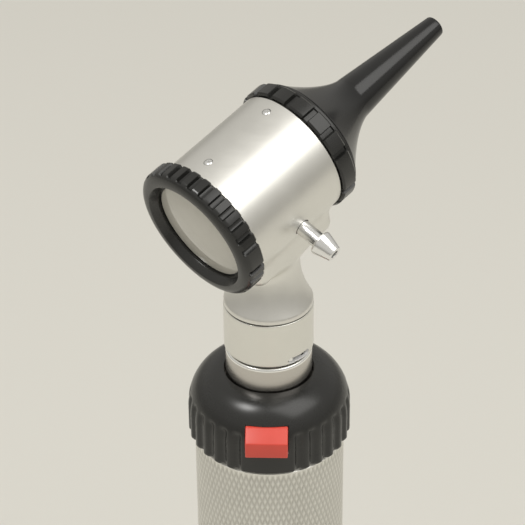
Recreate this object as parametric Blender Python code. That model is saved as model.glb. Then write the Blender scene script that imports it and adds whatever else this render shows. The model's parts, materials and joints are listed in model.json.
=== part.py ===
"""Battery otoscope: a bayonet instrument head on a handle that holds two C cells.

It stands on its end cap, with the origin at the centre of the cap's bottom face. +Z runs up the
handle. The barrel crosses the handle's axis and points along +Y and upwards, so the speculum is
on +Y, the eyepiece on -Y and the hose nipple on +X.
"""

import math

import bmesh
import bpy
from mathutils import Matrix, Vector

MM = 0.001

# Clearances
GAP = 0.3 * MM  # between pieces that touch on the real object
RUNNING = 0.35 * MM  # around a piece that turns

# Handle and its end cap; its bore takes the cells
HANDLE_WALL = 1.2 * MM
CAP_HEIGHT = 11.0 * MM
CAP_SPIGOT = 5.0 * MM
CAP_FLOOR = 2.6 * MM
CAP_WALL = 2.2 * MM
SEAL_WIRE = 0.6 * MM
SPRING_WIRE = 0.5 * MM
SPRING_TURNS = 4

# Power cells and what carries their current
CELL_RADIUS = 13.0 * MM
CELL_LENGTH = 49.5 * MM
CELL_NUB_RADIUS = 3.2 * MM
CELL_NUB_HEIGHT = 1.6 * MM
CONTACT_RADIUS = 8.0 * MM
CONTACT_THICKNESS = 0.8 * MM
CONTACT_STEM_RADIUS = 1.5 * MM
INSULATOR_THICKNESS = 1.5 * MM
CARRIER_SPIGOT = 5.0 * MM
TRACK_THICKNESS = 0.9 * MM
TRACK_HEIGHT = 3.0 * MM
TRACK_SWEEP = 300
WIPER_THICKNESS = 0.4 * MM

# Brightness collar
COLLAR_PROUD = 1.15 * MM  # its radius over the handle's
COLLAR_HEIGHT = 14.25 * MM
COLLAR_WALL = 2.6 * MM
COLLAR_BEARING = 1.8 * MM
FLUTE_COUNT = 32
FLUTE_DEPTH = 0.5 * MM
FLUTE_HEIGHT = 8.3 * MM
DOME_START = 5.7 * MM  # above the collar's lower edge, where its wall starts to curve in
CROWN_WIDTH = 0.6 * MM  # level land round the hole in the domed top
BUTTON_AZIMUTH = 44.3  # from -Y towards +X
BUTTON_WIDTH = 8.0 * MM
BUTTON_BOTTOM = 5.2 * MM  # above the collar's lower edge
BUTTON_RIDGE = 8.7 * MM
BUTTON_TOP = 12.0 * MM
BUTTON_PROUD = 1.5 * MM
BUTTON_TRAVEL = 1.2 * MM

# Bayonet coupling between handle and head
RING_INSET = 0.27 * MM  # its radius under the sleeve's
RING_DEPTH = 3.2 * MM  # its seat below the collar's top
RING_FLANGE = 0.8 * MM
FLANGE_WIDTH = 1.15 * MM
STUB_HEIGHT = 6.5 * MM
TAIL_RADIUS = 5.2 * MM
TAIL_LENGTH = 6.0 * MM
CONTACT_BORE = 3.4 * MM
PLUNGER_RADIUS = 1.8 * MM
PLUNGER_LENGTH = 9.5 * MM
PLUNGER_TRAVEL = 1.2 * MM  # how far it stands above its stub
PIN_RADIUS = 0.45 * MM
PIN_DEPTH = 1.6 * MM
PIN_ANGLE = -13.5  # from +X, where the pin rests in the slot's locked end
SLEEVE_RADIUS = 8.52 * MM
SLEEVE_WALL = 1.25 * MM
SLEEVE_HEIGHT = 9.8 * MM
SLEEVE_ABOVE_COLLAR = 5.5 * MM
SLEEVE_CHAMFER = 0.5 * MM
SLOT_RIM = 0.6 * MM
SLOT_HEIGHT = 1.2 * MM
SLOT_HALF_ANGLE = 18
ENTRY_WIDTH = 1.4 * MM

# Instrument head
BARREL_TILT = 16.8  # above the horizontal
BARREL_RISE = 28.4 * MM  # its axis above the sleeve's top, on the handle's axis
BARREL_RADIUS = 12.25 * MM
BARREL_WALL = 2.25 * MM
BARREL_FRONT = 6.3 * MM
BARREL_REAR = 14.5 * MM
FRONT_SPIGOT_STEP = 1.25 * MM  # its radius under the barrel's
FRONT_SPIGOT = 3.7 * MM
KEEL_HALF_WIDTH = 7.8 * MM
KEEL_DEPTH = 15.4 * MM
KEEL_REAR = 14.2 * MM
KEEL_ROUNDING = 2.0 * MM
NECK_RADIUS = 5.9 * MM
NECK_SWEEP = 9.4 * MM  # height over which the neck spreads to the sleeve
NECK_FOOT_INSET = 0.07 * MM  # its foot's radius under the sleeve's
NECK_FOOT_HEIGHT = 1.1 * MM  # straight band above the sleeve
SPIGOT_RADIUS = 5.0 * MM
SPIGOT_HEIGHT = 4.9 * MM
LAMP_RADIUS = 2.6 * MM
LAMP_FLANGE_RADIUS = 3.7 * MM
LAMP_FLANGE = 0.8 * MM
BULB_RADIUS = 2.3 * MM
BULB_HEIGHT = 4.6 * MM
GUIDE_RADIUS = 1.2 * MM
GUIDE_DROP = 7.9 * MM  # below the barrel's axis
GUIDE_REACH = 13.0 * MM
GUIDE_END_DROP = 5.2 * MM
SCREW_RADIUS = 0.8 * MM
SCREW_PROUD = 0.2 * MM
REAR_SCREW = -11.25 * MM
FRONT_SCREW = 3.6 * MM
PORT_PLACE = -3.9 * MM
PORT_DROOP = 21.5  # below the horizontal
PORT_RADIUS = 1.5 * MM
PORT_BORE = 0.8 * MM
PORT_TUBE = 4.2 * MM
BARB_RADIUS = 2.4 * MM
BARB_LENGTH = 3.7 * MM

# Eyepiece: a ribbed ring whose tail turns in the barrel and holds the magnifier
LENS_RING_PROUD = 1.35 * MM  # its radius over the barrel's
LENS_RING_LENGTH = 4.4 * MM
LENS_RING_SHOULDER = 1.5 * MM
LENS_RING_ROUNDING = 2.0 * MM
RIB_COUNT = 32
RIB_DEPTH = 0.5 * MM
TAIL_WALL = 0.7 * MM
LENS_TAIL = 4.4 * MM
LENS_TAIL_STEP = 1.05 * MM  # its radius under the barrel's
LENS_LIP_WIDTH = 0.6 * MM
LENS_LIP = 0.8 * MM
LIP_DEPTH = 2.2 * MM  # the lip's rear face behind the ring's front edge
LENS_EDGE = 1.0 * MM
LENS_BULGE = 0.9 * MM
LENS_SEAL = 0.5 * MM
RETAINER_LENGTH = 0.9 * MM
RETAINER_WIDTH = 1.0 * MM

# Speculum, its cone and the ring that grips it
FRONT_RING_PROUD = 0.65 * MM  # its radius over the barrel's
FRONT_RING_LENGTH = 4.15 * MM
FRONT_RING_STEP = 0.85 * MM  # its smooth front band's radius under its lands'
LAND_COUNT = 18
LAND_DEPTH = 0.45 * MM
SPECULUM_INSET = 1.4 * MM  # its base's radius under the ring's
SPECULUM_WALL = 0.9 * MM
SPECULUM_LENGTH = 34.9 * MM
SPECULUM_TIP_RADIUS = 2.05 * MM
FLARE_LENGTH = 11.5 * MM
FLARE_RADIUS = 4.25 * MM  # where the flare runs into the slender cone
CONE_WALL = 0.8 * MM
CONE_LENGTH = 15.0 * MM
CONE_FLANGE = 8.0 * MM

# Radii that follow the piece they fit
HANDLE_BORE = CELL_RADIUS + GAP
HANDLE_RADIUS = HANDLE_BORE + HANDLE_WALL
COLLAR_RADIUS = HANDLE_RADIUS + COLLAR_PROUD
RING_RADIUS = SLEEVE_RADIUS - RING_INSET
CROWN_RADIUS = RING_RADIUS + CROWN_WIDTH
CARRIER_NECK_RADIUS = RING_RADIUS + FLANGE_WIDTH
STUB_RADIUS = SLEEVE_RADIUS - SLEEVE_WALL - RUNNING
NECK_FOOT = SLEEVE_RADIUS - NECK_FOOT_INSET
BARREL_BORE = BARREL_RADIUS - BARREL_WALL
FRONT_SPIGOT_RADIUS = BARREL_RADIUS - FRONT_SPIGOT_STEP
LENS_RING_RADIUS = BARREL_RADIUS + LENS_RING_PROUD
LENS_RING_RIM = LENS_RING_RADIUS - LENS_RING_ROUNDING
LENS_TAIL_RADIUS = BARREL_RADIUS - LENS_TAIL_STEP
LENS_SEAT_RADIUS = LENS_TAIL_RADIUS - TAIL_WALL
LENS_LIP_RADIUS = LENS_SEAT_RADIUS - LENS_LIP_WIDTH
RETAINER_BORE = LENS_SEAT_RADIUS - GAP - RETAINER_WIDTH
FRONT_RING_RADIUS = BARREL_RADIUS + FRONT_RING_PROUD
FRONT_RING_FACE = FRONT_RING_RADIUS - FRONT_RING_STEP
SPECULUM_BASE_RADIUS = FRONT_RING_RADIUS - SPECULUM_INSET

# Heights up the handle, each resting on the piece below
TUBE_BOTTOM = CAP_HEIGHT + GAP
SPIGOT_TOP = CAP_HEIGHT + CAP_SPIGOT
LOWER_CELL = SPIGOT_TOP + GAP
UPPER_CELL = LOWER_CELL + CELL_LENGTH + GAP
CONTACT = UPPER_CELL + CELL_LENGTH + GAP
INSULATOR = CONTACT + CONTACT_THICKNESS + GAP
CARRIER = INSULATOR + INSULATOR_THICKNESS + GAP
TUBE_TOP = CARRIER + CARRIER_SPIGOT
COLLAR = TUBE_TOP + GAP
COLLAR_TOP = COLLAR + COLLAR_HEIGHT
SLEEVE = COLLAR_TOP + SLEEVE_ABOVE_COLLAR
SLEEVE_TOP = SLEEVE + SLEEVE_HEIGHT
BARREL = SLEEVE_TOP + BARREL_RISE
RING_TOP = SLEEVE - GAP
STUB_TOP = RING_TOP + STUB_HEIGHT
RING_SEAT = COLLAR_TOP - RING_DEPTH  # top of the carrier's neck
RING_BOTTOM = RING_SEAT + GAP
TAIL_BOTTOM = RING_BOTTOM - TAIL_LENGTH
PLUNGER_TOP = STUB_TOP + PLUNGER_TRAVEL
PLUNGER_BOTTOM = PLUNGER_TOP - PLUNGER_LENGTH

# Places along the barrel, from the point where its axis crosses the handle's
LENS_RING_FRONT = -BARREL_REAR - GAP
LENS_RING_REAR = LENS_RING_FRONT - LENS_RING_LENGTH
LENS_RING_TAIL_END = LENS_RING_FRONT + LENS_TAIL
LIP_REAR = LENS_RING_FRONT - LIP_DEPTH
LIP_FRONT = LIP_REAR + LENS_LIP
FRONT_RING_REAR = BARREL_FRONT + GAP
FRONT_RING_FRONT = FRONT_RING_REAR + FRONT_RING_LENGTH
SPECULUM_REAR = FRONT_RING_FRONT + GAP

FINISHES = {
    "satin_aluminium": ((0.70, 0.69, 0.65), 0.35, 1.0),
    "knurled_aluminium": ((0.62, 0.62, 0.58), 0.45, 1.0),
    "chrome": ((0.80, 0.80, 0.79), 0.12, 1.0),
    "black_plastic": ((0.045, 0.045, 0.042), 0.45, 0.0),
    "speculum_plastic": ((0.02, 0.02, 0.022), 0.18, 0.0),
    "red_plastic": ((0.62, 0.07, 0.05), 0.40, 0.0),
    "black_anodised": ((0.03, 0.03, 0.03), 0.50, 0.6),
    "insulating_plastic": ((0.55, 0.35, 0.18), 0.60, 0.0),
    "white_plastic": ((0.80, 0.79, 0.74), 0.50, 0.0),
    "cell_jacket": ((0.16, 0.20, 0.26), 0.35, 0.3),
    "spring_steel": ((0.55, 0.55, 0.56), 0.30, 1.0),
    "brass": ((0.72, 0.52, 0.22), 0.30, 1.0),
    "resistance_alloy": ((0.30, 0.24, 0.20), 0.60, 0.5),
    "rubber": ((0.02, 0.02, 0.02), 0.80, 0.0),
    "optical_glass": ((0.85, 0.92, 0.95), 0.03, 0.0),
    "bulb_glass": ((0.90, 0.90, 0.86), 0.05, 0.0),
    "fibre": ((0.75, 0.78, 0.70), 0.40, 0.0),
}


def finish(name):
    """The Principled material of that name, made once."""
    if name in bpy.data.materials:
        return bpy.data.materials[name]
    colour, roughness, metallic = FINISHES[name]
    made = bpy.data.materials.new(name)
    made.use_nodes = True
    surface = made.node_tree.nodes["Principled BSDF"]
    surface.inputs["Base Color"].default_value = (*colour, 1.0)
    surface.inputs["Roughness"].default_value = roughness
    surface.inputs["Metallic"].default_value = metallic
    return made


def placed(name, shape, finish_name, parent, sharp=35):
    """An object of the bmesh, smooth but for edges sharper than the angle."""
    bmesh.ops.recalc_face_normals(shape, faces=shape.faces)
    mesh = bpy.data.meshes.new(name)
    shape.to_mesh(mesh)
    shape.free()
    mesh.shade_smooth()
    mesh.set_sharp_from_angle(angle=math.radians(sharp))
    made = bpy.data.objects.new(name, mesh)
    if finish_name:
        mesh.materials.append(finish(finish_name))
    made.parent = parent
    bpy.context.scene.collection.objects.link(made)
    return made


def axis(name, location, rotation=(0, 0, 0), parent=None):
    """An empty that carries the pieces of one axis."""
    made = bpy.data.objects.new(name, None)
    made.location = location
    made.rotation_euler = rotation
    made.parent = parent
    bpy.context.scene.collection.objects.link(made)
    return made


def arc(centre_radius, centre_height, across, along, start, end, points):
    """Section points on an ellipse, angles from the outward direction towards +Z."""
    section = []
    for step in range(points + 1):
        angle = math.radians(start + (end - start) * step / points)
        radius = centre_radius + across * math.cos(angle)
        section.append((radius, centre_height + along * math.sin(angle)))
    return section


def turned(name, section, finish_name, parent, columns=32, relief=None):
    """A body turned about Z from a closed half section of (radius, height) points.

    relief(angle, radius, height), if given, is taken off the radius.
    """
    shape = bmesh.new()
    rings = []
    for radius, height in section:
        if radius < 1e-9:
            rings.append([shape.verts.new((0, 0, height))])
            continue
        ring = []
        for column in range(columns):
            angle = math.tau * column / columns
            reach = radius - (relief(angle, radius, height) if relief else 0)
            ring.append(shape.verts.new((reach * math.cos(angle), reach * math.sin(angle), height)))
        rings.append(ring)
    for ring, other in zip(rings, rings[1:] + rings[:1]):
        for column in range(columns):
            after = column + 1
            corners = [
                ring[column % len(ring)],
                ring[after % len(ring)],
                other[after % len(other)],
                other[column % len(other)],
            ]
            distinct = list(dict.fromkeys(corners))
            if len(distinct) > 2:
                shape.faces.new(distinct)
    return placed(name, shape, finish_name, parent)


def tube_section(inner, outer, low, high):
    return [(inner, low), (outer, low), (outer, high), (inner, high)]


def sector(name, inner, outer, low, high, start, sweep, finish_name, parent, steps=24):
    """Part of a ring, between two angles in degrees."""
    shape = bmesh.new()
    rows = []
    for step in range(steps + 1):
        angle = math.radians(start + sweep * step / steps)
        along = Vector((math.cos(angle), math.sin(angle), 0))
        corners = ((inner, low), (outer, low), (outer, high), (inner, high))
        rows.append([shape.verts.new(along * radius + Vector((0, 0, height))) for radius, height in corners])
    for row, after in zip(rows, rows[1:]):
        for side in range(4):
            beyond = (side + 1) % 4
            shape.faces.new((row[side], row[beyond], after[beyond], after[side]))
    shape.faces.new(rows[0])
    shape.faces.new(rows[-1])
    return placed(name, shape, finish_name, parent)


def rod(name, radius, start, end, finish_name, parent, columns=24):
    """A solid cylinder between two points."""
    along = end - start
    made = turned(name, [(0, 0), (radius, 0), (radius, along.length), (0, along.length)],
                  finish_name, parent, columns)
    made.matrix_local = Matrix.Translation(start) @ along.to_track_quat("Z", "Y").to_matrix().to_4x4()
    return made


def extruded(name, outline, width, finish_name, parent):
    """An outline of (x, z) points drawn out along Y, half the width to each side."""
    shape = bmesh.new()
    near = [shape.verts.new((x, -width / 2, z)) for x, z in outline]
    far = [shape.verts.new((x, width / 2, z)) for x, z in outline]
    shape.faces.new(near)
    shape.faces.new(far)
    for corner in range(len(outline)):
        after = (corner + 1) % len(outline)
        shape.faces.new((near[corner], near[after], far[after], far[corner]))
    return placed(name, shape, finish_name, parent)


def block(name, low, high, finish_name, parent):
    """A box between two corners."""
    outline = [(low[0], low[2]), (high[0], low[2]), (high[0], high[2]), (low[0], high[2])]
    made = extruded(name, outline, high[1] - low[1], finish_name, parent)
    made.data.transform(Matrix.Translation((0, (low[1] + high[1]) / 2, 0)))
    return made


def wire(name, points, radius, finish_name, parent, sides=0):
    """A round wire through the points, with closed ends."""
    curve = bpy.data.curves.new(name, "CURVE")
    curve.dimensions = "3D"
    curve.bevel_depth = radius
    curve.bevel_resolution = sides
    curve.use_fill_caps = True
    run = curve.splines.new("POLY")
    run.points.add(len(points) - 1)
    for place, point in zip(run.points, points):
        place.co = (*point, 1)
    made = bpy.data.objects.new(name, curve)
    curve.materials.append(finish(finish_name))
    made.parent = parent
    bpy.context.scene.collection.objects.link(made)
    return made


def coil(low, high, low_radius, high_radius, turns, per_turn=10):
    """Points up a helix whose radius may change."""
    points = []
    count = turns * per_turn
    for step in range(count + 1):
        share = step / count
        angle = math.tau * step / per_turn
        radius = low_radius + (high_radius - low_radius) * share
        points.append((radius * math.cos(angle), radius * math.sin(angle), low + (high - low) * share))
    return points


def helper(made):
    made.hide_render = True
    made.display_type = "WIRE"
    return made


def boolean(target, other, operation):
    """Joins the helper to the target, or cuts it away."""
    helper(other)
    step = target.modifiers.new(other.name, "BOOLEAN")
    step.operation = operation
    step.solver = "EXACT"
    step.object = other


def clear_scene():
    for made in list(bpy.data.objects):
        bpy.data.objects.remove(made)


# ---------------------------------------------------------------- handle


def handle_tube(parent):
    bevel = 0.3 * MM
    section = [
        (HANDLE_BORE, TUBE_BOTTOM),
        (HANDLE_RADIUS - bevel, TUBE_BOTTOM),
        (HANDLE_RADIUS, TUBE_BOTTOM + bevel),
        (HANDLE_RADIUS, TUBE_TOP - bevel),
        (HANDLE_RADIUS - bevel, TUBE_TOP),
        (HANDLE_BORE, TUBE_TOP),
    ]
    turned("handle_tube", section, "knurled_aluminium", parent, 40)


def cap_pieces(parent):
    """The screw cap, the seal in its groove and the spring that presses the cells up."""
    spigot = HANDLE_BORE - GAP
    bore = spigot - CAP_WALL
    groove = spigot - 2 * SEAL_WIRE - 0.1 * MM
    seal_height = TUBE_BOTTOM + 2 * SEAL_WIRE
    bevel = 0.9 * MM
    section = [
        (0, 0),
        (HANDLE_RADIUS - bevel, 0),
        (HANDLE_RADIUS, bevel),
        (HANDLE_RADIUS, CAP_HEIGHT - GAP),
        (HANDLE_RADIUS - GAP, CAP_HEIGHT),
        (spigot, CAP_HEIGHT),
        (spigot, seal_height - SEAL_WIRE - 0.1 * MM),
        (groove, seal_height - SEAL_WIRE - 0.1 * MM),
        (groove, seal_height + SEAL_WIRE + 0.1 * MM),
        (spigot, seal_height + SEAL_WIRE + 0.1 * MM),
        (spigot, SPIGOT_TOP),
        (bore, SPIGOT_TOP),
        (bore, CAP_FLOOR),
        (0, CAP_FLOOR),
    ]
    turned("end_cap", section, "knurled_aluminium", parent, 40)
    centre = groove + 0.1 * MM + SEAL_WIRE
    turned("cap_seal", arc(centre, seal_height, SEAL_WIRE, SEAL_WIRE, 0, 300, 5), "rubber", parent, 28)
    low = CAP_FLOOR + GAP + SPRING_WIRE
    high = SPIGOT_TOP - SPRING_WIRE
    points = coil(low, high, bore - GAP - SPRING_WIRE, 0.55 * bore, SPRING_TURNS)
    wire("battery_spring", points, SPRING_WIRE, "spring_steel", parent)


def power_cell(name, foot, parent):
    shoulder = foot + CELL_LENGTH - CELL_NUB_HEIGHT
    bevel = 0.7 * MM
    section = [
        (0, foot),
        (CELL_RADIUS - bevel, foot),
        (CELL_RADIUS, foot + bevel),
        (CELL_RADIUS, shoulder - bevel),
        (CELL_RADIUS - bevel, shoulder),
        (CELL_NUB_RADIUS, shoulder),
        (CELL_NUB_RADIUS, foot + CELL_LENGTH),
        (0, foot + CELL_LENGTH),
    ]
    turned(name, section, "cell_jacket", parent, 28)


def contact_pieces(parent):
    """The disc that takes the cells' current, its stem, and the washer that insulates it."""
    stem_top = CARRIER + CARRIER_SPIGOT - GAP
    section = [
        (0, CONTACT),
        (CONTACT_RADIUS, CONTACT),
        (CONTACT_RADIUS, CONTACT + CONTACT_THICKNESS),
        (CONTACT_STEM_RADIUS, CONTACT + CONTACT_THICKNESS),
        (CONTACT_STEM_RADIUS, stem_top),
        (0, stem_top),
    ]
    turned("contact_disc", section, "brass", parent, 24)
    top = INSULATOR + INSULATOR_THICKNESS
    washer = tube_section(CONTACT_STEM_RADIUS + GAP, HANDLE_BORE - GAP, INSULATOR, top)
    turned("insulator_washer", washer, "insulating_plastic", parent, 28)


def switch_carrier(parent):
    """The plug that closes the tube; its neck carries the collar and the coupling ring."""
    stem_bore = CONTACT_STEM_RADIUS + GAP
    tail_bore = TAIL_RADIUS + GAP
    spigot = HANDLE_BORE - GAP
    section = [
        (stem_bore, CARRIER),
        (spigot, CARRIER),
        (spigot, TUBE_TOP),
        (CARRIER_NECK_RADIUS, TUBE_TOP),
        (CARRIER_NECK_RADIUS, RING_SEAT),
        (tail_bore, RING_SEAT),
        (tail_bore, TAIL_BOTTOM - GAP),
        (stem_bore, TAIL_BOTTOM - GAP),
    ]
    turned("switch_carrier", section, "black_plastic", parent, 32)


def track_inner():
    return CARRIER_NECK_RADIUS + GAP


def track_outer():
    return track_inner() + TRACK_THICKNESS


def wiper_outer():
    return track_outer() + GAP + WIPER_THICKNESS


def track_height():
    return COLLAR + COLLAR_BEARING + 1.6 * MM


def rheostat_track(parent):
    low = track_height()
    sector("rheostat_track", track_inner(), track_outer(), low, low + TRACK_HEIGHT,
           120, TRACK_SWEEP, "resistance_alloy", parent, 30)


# ---------------------------------------------------------------- collar


def fluting(count, depth, low, high, least_radius):
    """Relief of evenly spaced valleys in the outer wall between two heights."""
    def relief(angle, radius, height):
        if radius < least_radius or height < low or height > high:
            return 0
        return depth * (0.5 - 0.5 * math.cos(count * angle))
    return relief


def collar_shell(parent):
    bevel = 0.4 * MM
    inner = COLLAR_RADIUS - COLLAR_WALL
    hole = RING_RADIUS + RUNNING
    ceiling = RING_BOTTOM + RING_FLANGE + RUNNING
    flute_top = COLLAR + FLUTE_HEIGHT
    dome = COLLAR + DOME_START
    rise = COLLAR_TOP - dome
    flute_end = math.degrees(math.asin((flute_top - dome) / rise))
    across = COLLAR_RADIUS - CROWN_RADIUS
    crown = arc(CROWN_RADIUS, dome, across, rise, flute_end, 90, 4)
    section = [
        (inner, COLLAR),
        (COLLAR_RADIUS - bevel, COLLAR),
        (COLLAR_RADIUS, COLLAR + bevel),
        (COLLAR_RADIUS, dome),
        (crown[0][0], flute_top - bevel),
        *crown,
        (hole, COLLAR_TOP - bevel),
        (hole, ceiling),
        (CARRIER_NECK_RADIUS + 2 * RUNNING, ceiling),
        (inner, COLLAR + FLUTE_HEIGHT + 0.8 * MM),
    ]
    top = flute_top - bevel / 2
    relief = fluting(FLUTE_COUNT, FLUTE_DEPTH, COLLAR - GAP, top, COLLAR_RADIUS - 2 * bevel)
    shell = turned("collar_shell", section, "black_plastic", parent, 2 * FLUTE_COUNT, relief)
    window = block(
        "button_window",
        (inner - 2 * RUNNING, -BUTTON_WIDTH / 2 - RUNNING, COLLAR + BUTTON_BOTTOM - RUNNING),
        (COLLAR_RADIUS + 3 * MM, BUTTON_WIDTH / 2 + RUNNING, COLLAR + BUTTON_TOP + RUNNING),
        None,
        parent,
    )
    window.rotation_euler = (0, 0, math.radians(BUTTON_AZIMUTH - 90))
    boolean(shell, window, "DIFFERENCE")


def bearing_wall():
    """Radii of the bearing ring's upright wall."""
    inner = wiper_outer() + GAP
    return inner, inner + 0.7 * MM


def collar_bearing(parent):
    """The ring that closes the collar from below; the wiper and the button's spring lean on its wall."""
    inner, outer = bearing_wall()
    foot = COLLAR + COLLAR_BEARING
    rim = COLLAR_RADIUS - COLLAR_WALL - GAP
    section = [
        (CARRIER_NECK_RADIUS + RUNNING, COLLAR),
        (rim, COLLAR),
        (rim, foot),
        (outer, foot),
        (outer, COLLAR + FLUTE_HEIGHT - 0.6 * MM),
        (inner, COLLAR + FLUTE_HEIGHT - 0.6 * MM),
        (inner, foot),
        (CARRIER_NECK_RADIUS + RUNNING, foot),
    ]
    turned("collar_bearing", section, "white_plastic", parent, 32)


def wiper(parent):
    low = track_height() + 0.5 * MM
    sector("wiper", wiper_outer() - WIPER_THICKNESS, wiper_outer(), low, low + TRACK_HEIGHT - 1.0 * MM,
           190, 24, "brass", parent, 6)


def button_pieces(collar):
    """The red lock button and the spring behind it, in the frame of the button's own travel."""
    turn = (0, 0, math.radians(BUTTON_AZIMUTH - 90))
    seat = axis("button_seat", (0, 0, 0), turn, collar)
    slider = axis("button_slide", (0, 0, 0), (0, 0, 0), seat)
    back = bearing_wall()[1] + GAP + BUTTON_TRAVEL
    outline = [
        (back, COLLAR + BUTTON_BOTTOM),
        (COLLAR_RADIUS + 0.8 * BUTTON_PROUD, COLLAR + BUTTON_BOTTOM),
        (COLLAR_RADIUS + BUTTON_PROUD, COLLAR + BUTTON_RIDGE),
        (back + 0.6 * MM, COLLAR + BUTTON_TOP),
        (back, COLLAR + BUTTON_TOP),
    ]
    extruded("lock_button", outline, BUTTON_WIDTH, "red_plastic", slider)
    middle = COLLAR + (BUTTON_BOTTOM + BUTTON_TOP) / 2
    wall = bearing_wall()[1] + GAP + 0.2 * MM
    points = []
    for x, y, z in coil(wall, back - GAP - 0.2 * MM, 1.4 * MM, 1.4 * MM, 1, 12):
        points.append((z, y, middle + x))
    wire("button_spring", points, 0.2 * MM, "spring_steel", seat)


# ---------------------------------------------------------------- coupling


def pin_height():
    return SLEEVE + SLOT_RIM + SLOT_HEIGHT / 2


def coupling_pieces(parent):
    """The bright ring under the head, its bored stub and the two bayonet pins."""
    edge = 0.35 * MM
    section = [
        (CONTACT_BORE, TAIL_BOTTOM),
        (TAIL_RADIUS, TAIL_BOTTOM),
        (TAIL_RADIUS, RING_BOTTOM),
        (CARRIER_NECK_RADIUS, RING_BOTTOM),
        (CARRIER_NECK_RADIUS, RING_BOTTOM + RING_FLANGE),
        (RING_RADIUS, RING_BOTTOM + RING_FLANGE),
        (RING_RADIUS, RING_TOP - edge),
        (RING_RADIUS - edge, RING_TOP),
        (STUB_RADIUS, RING_TOP),
        (STUB_RADIUS, STUB_TOP - edge),
        (STUB_RADIUS - edge, STUB_TOP),
        (CONTACT_BORE, STUB_TOP),
    ]
    ring = turned("coupling_ring", section, "chrome", parent, 32)
    inner = STUB_RADIUS - PIN_DEPTH
    for number, name in enumerate(("bayonet_pin_right", "bayonet_pin_left")):
        angle = math.radians(PIN_ANGLE + 180 * number)
        along = Vector((math.cos(angle), math.sin(angle), 0))
        centre = Vector((0, 0, pin_height()))
        socket = rod(name + "_socket", PIN_RADIUS + GAP, centre + along * (inner - GAP),
                     centre + along * (STUB_RADIUS + 1 * MM), None, parent, 12)
        boolean(ring, socket, "DIFFERENCE")
        tip = SLEEVE_RADIUS - 0.35 * MM
        rod(name, PIN_RADIUS, centre + along * inner, centre + along * tip, "chrome", parent, 12)


def plunger_pieces(parent):
    """The sprung centre contact and the sleeve that insulates it."""
    outer = CONTACT_BORE - GAP
    bore = PLUNGER_RADIUS + RUNNING
    floor = TAIL_BOTTOM + 1.0 * MM
    section = [
        (0, TAIL_BOTTOM),
        (outer, TAIL_BOTTOM),
        (outer, STUB_TOP - GAP),
        (bore, STUB_TOP - GAP),
        (bore, floor),
        (0, floor),
    ]
    turned("contact_sleeve", section, "insulating_plastic", parent, 24)
    slider = axis("plunger_slide", (0, 0, 0), (0, 0, 0), parent)
    rounding = 1.0 * MM
    plunger = [
        (0, PLUNGER_BOTTOM),
        (PLUNGER_RADIUS, PLUNGER_BOTTOM),
        (PLUNGER_RADIUS, PLUNGER_TOP - rounding),
        *arc(PLUNGER_RADIUS - rounding, PLUNGER_TOP - rounding, rounding, rounding, 30, 60, 1),
        (0, PLUNGER_TOP),
    ]
    turned("contact_plunger", plunger, "brass", slider, 24)
    spring_wire = 0.22 * MM
    low = floor + GAP + spring_wire
    high = PLUNGER_BOTTOM - GAP - spring_wire
    radius = PLUNGER_RADIUS - spring_wire
    wire("plunger_spring", coil(low, high, radius, radius, 4, 10), spring_wire, "spring_steel", parent)


def bayonet_sleeve(parent):
    """The head's socket: it drops over the stub, and its slots lock on the pins with a twist."""
    bore = SLEEVE_RADIUS - SLEEVE_WALL
    web = STUB_TOP + GAP + 0.6 * MM
    lamp_bore = LAMP_RADIUS + GAP
    section = [
        (bore, SLEEVE),
        (SLEEVE_RADIUS - SLEEVE_CHAMFER, SLEEVE),
        (SLEEVE_RADIUS, SLEEVE + SLEEVE_CHAMFER),
        (SLEEVE_RADIUS, SLEEVE_TOP - 0.15 * MM),
        (SLEEVE_RADIUS - 0.15 * MM, SLEEVE_TOP),
        (SPIGOT_RADIUS, SLEEVE_TOP),
        (SPIGOT_RADIUS, SLEEVE_TOP + SPIGOT_HEIGHT),
        (lamp_bore, SLEEVE_TOP + SPIGOT_HEIGHT),
        (lamp_bore, web),
        (bore, web),
    ]
    sleeve = turned("bayonet_sleeve", section, "satin_aluminium", parent, 44)
    low = pin_height() - SLOT_HEIGHT / 2
    for number, side in enumerate(("right", "left")):
        facing = 180 * number
        slot = sector("slot_" + side, bore - 1 * MM, SLEEVE_RADIUS + 1 * MM, low, low + SLOT_HEIGHT,
                      facing - SLOT_HALF_ANGLE, 2 * SLOT_HALF_ANGLE, None, parent, 8)
        boolean(sleeve, slot, "DIFFERENCE")
        entry = block("entry_" + side, (bore - 1 * MM, -ENTRY_WIDTH / 2, SLEEVE - 1 * MM),
                      (bore + 0.45 * SLEEVE_WALL, ENTRY_WIDTH / 2, low + SLOT_HEIGHT / 2), None, parent)
        margin = math.degrees(ENTRY_WIDTH / 2 / SLEEVE_RADIUS)
        entry.rotation_euler = (0, 0, math.radians(facing + SLOT_HALF_ANGLE - margin))
        boolean(sleeve, entry, "DIFFERENCE")


# ---------------------------------------------------------------- head


def neck(parent):
    """The waisted neck, which sweeps out to the sleeve on a circular arc."""
    spread = NECK_FOOT - NECK_RADIUS
    sweep = (NECK_SWEEP ** 2 + spread ** 2) / (2 * spread)
    foot = SLEEVE_TOP + GAP
    start = SLEEVE_TOP + NECK_FOOT_HEIGHT
    waist = start + NECK_SWEEP
    section = [(0, foot), (NECK_FOOT, foot)]
    for step in range(9):
        height = start + NECK_SWEEP * step / 8
        below = waist - height
        section.append((NECK_RADIUS + sweep - math.sqrt(sweep ** 2 - below ** 2), height))
    top = BARREL - BARREL_BORE
    section += [(NECK_RADIUS, top), (0, top)]
    return turned("neck_body", section, None, parent, 32)


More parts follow.
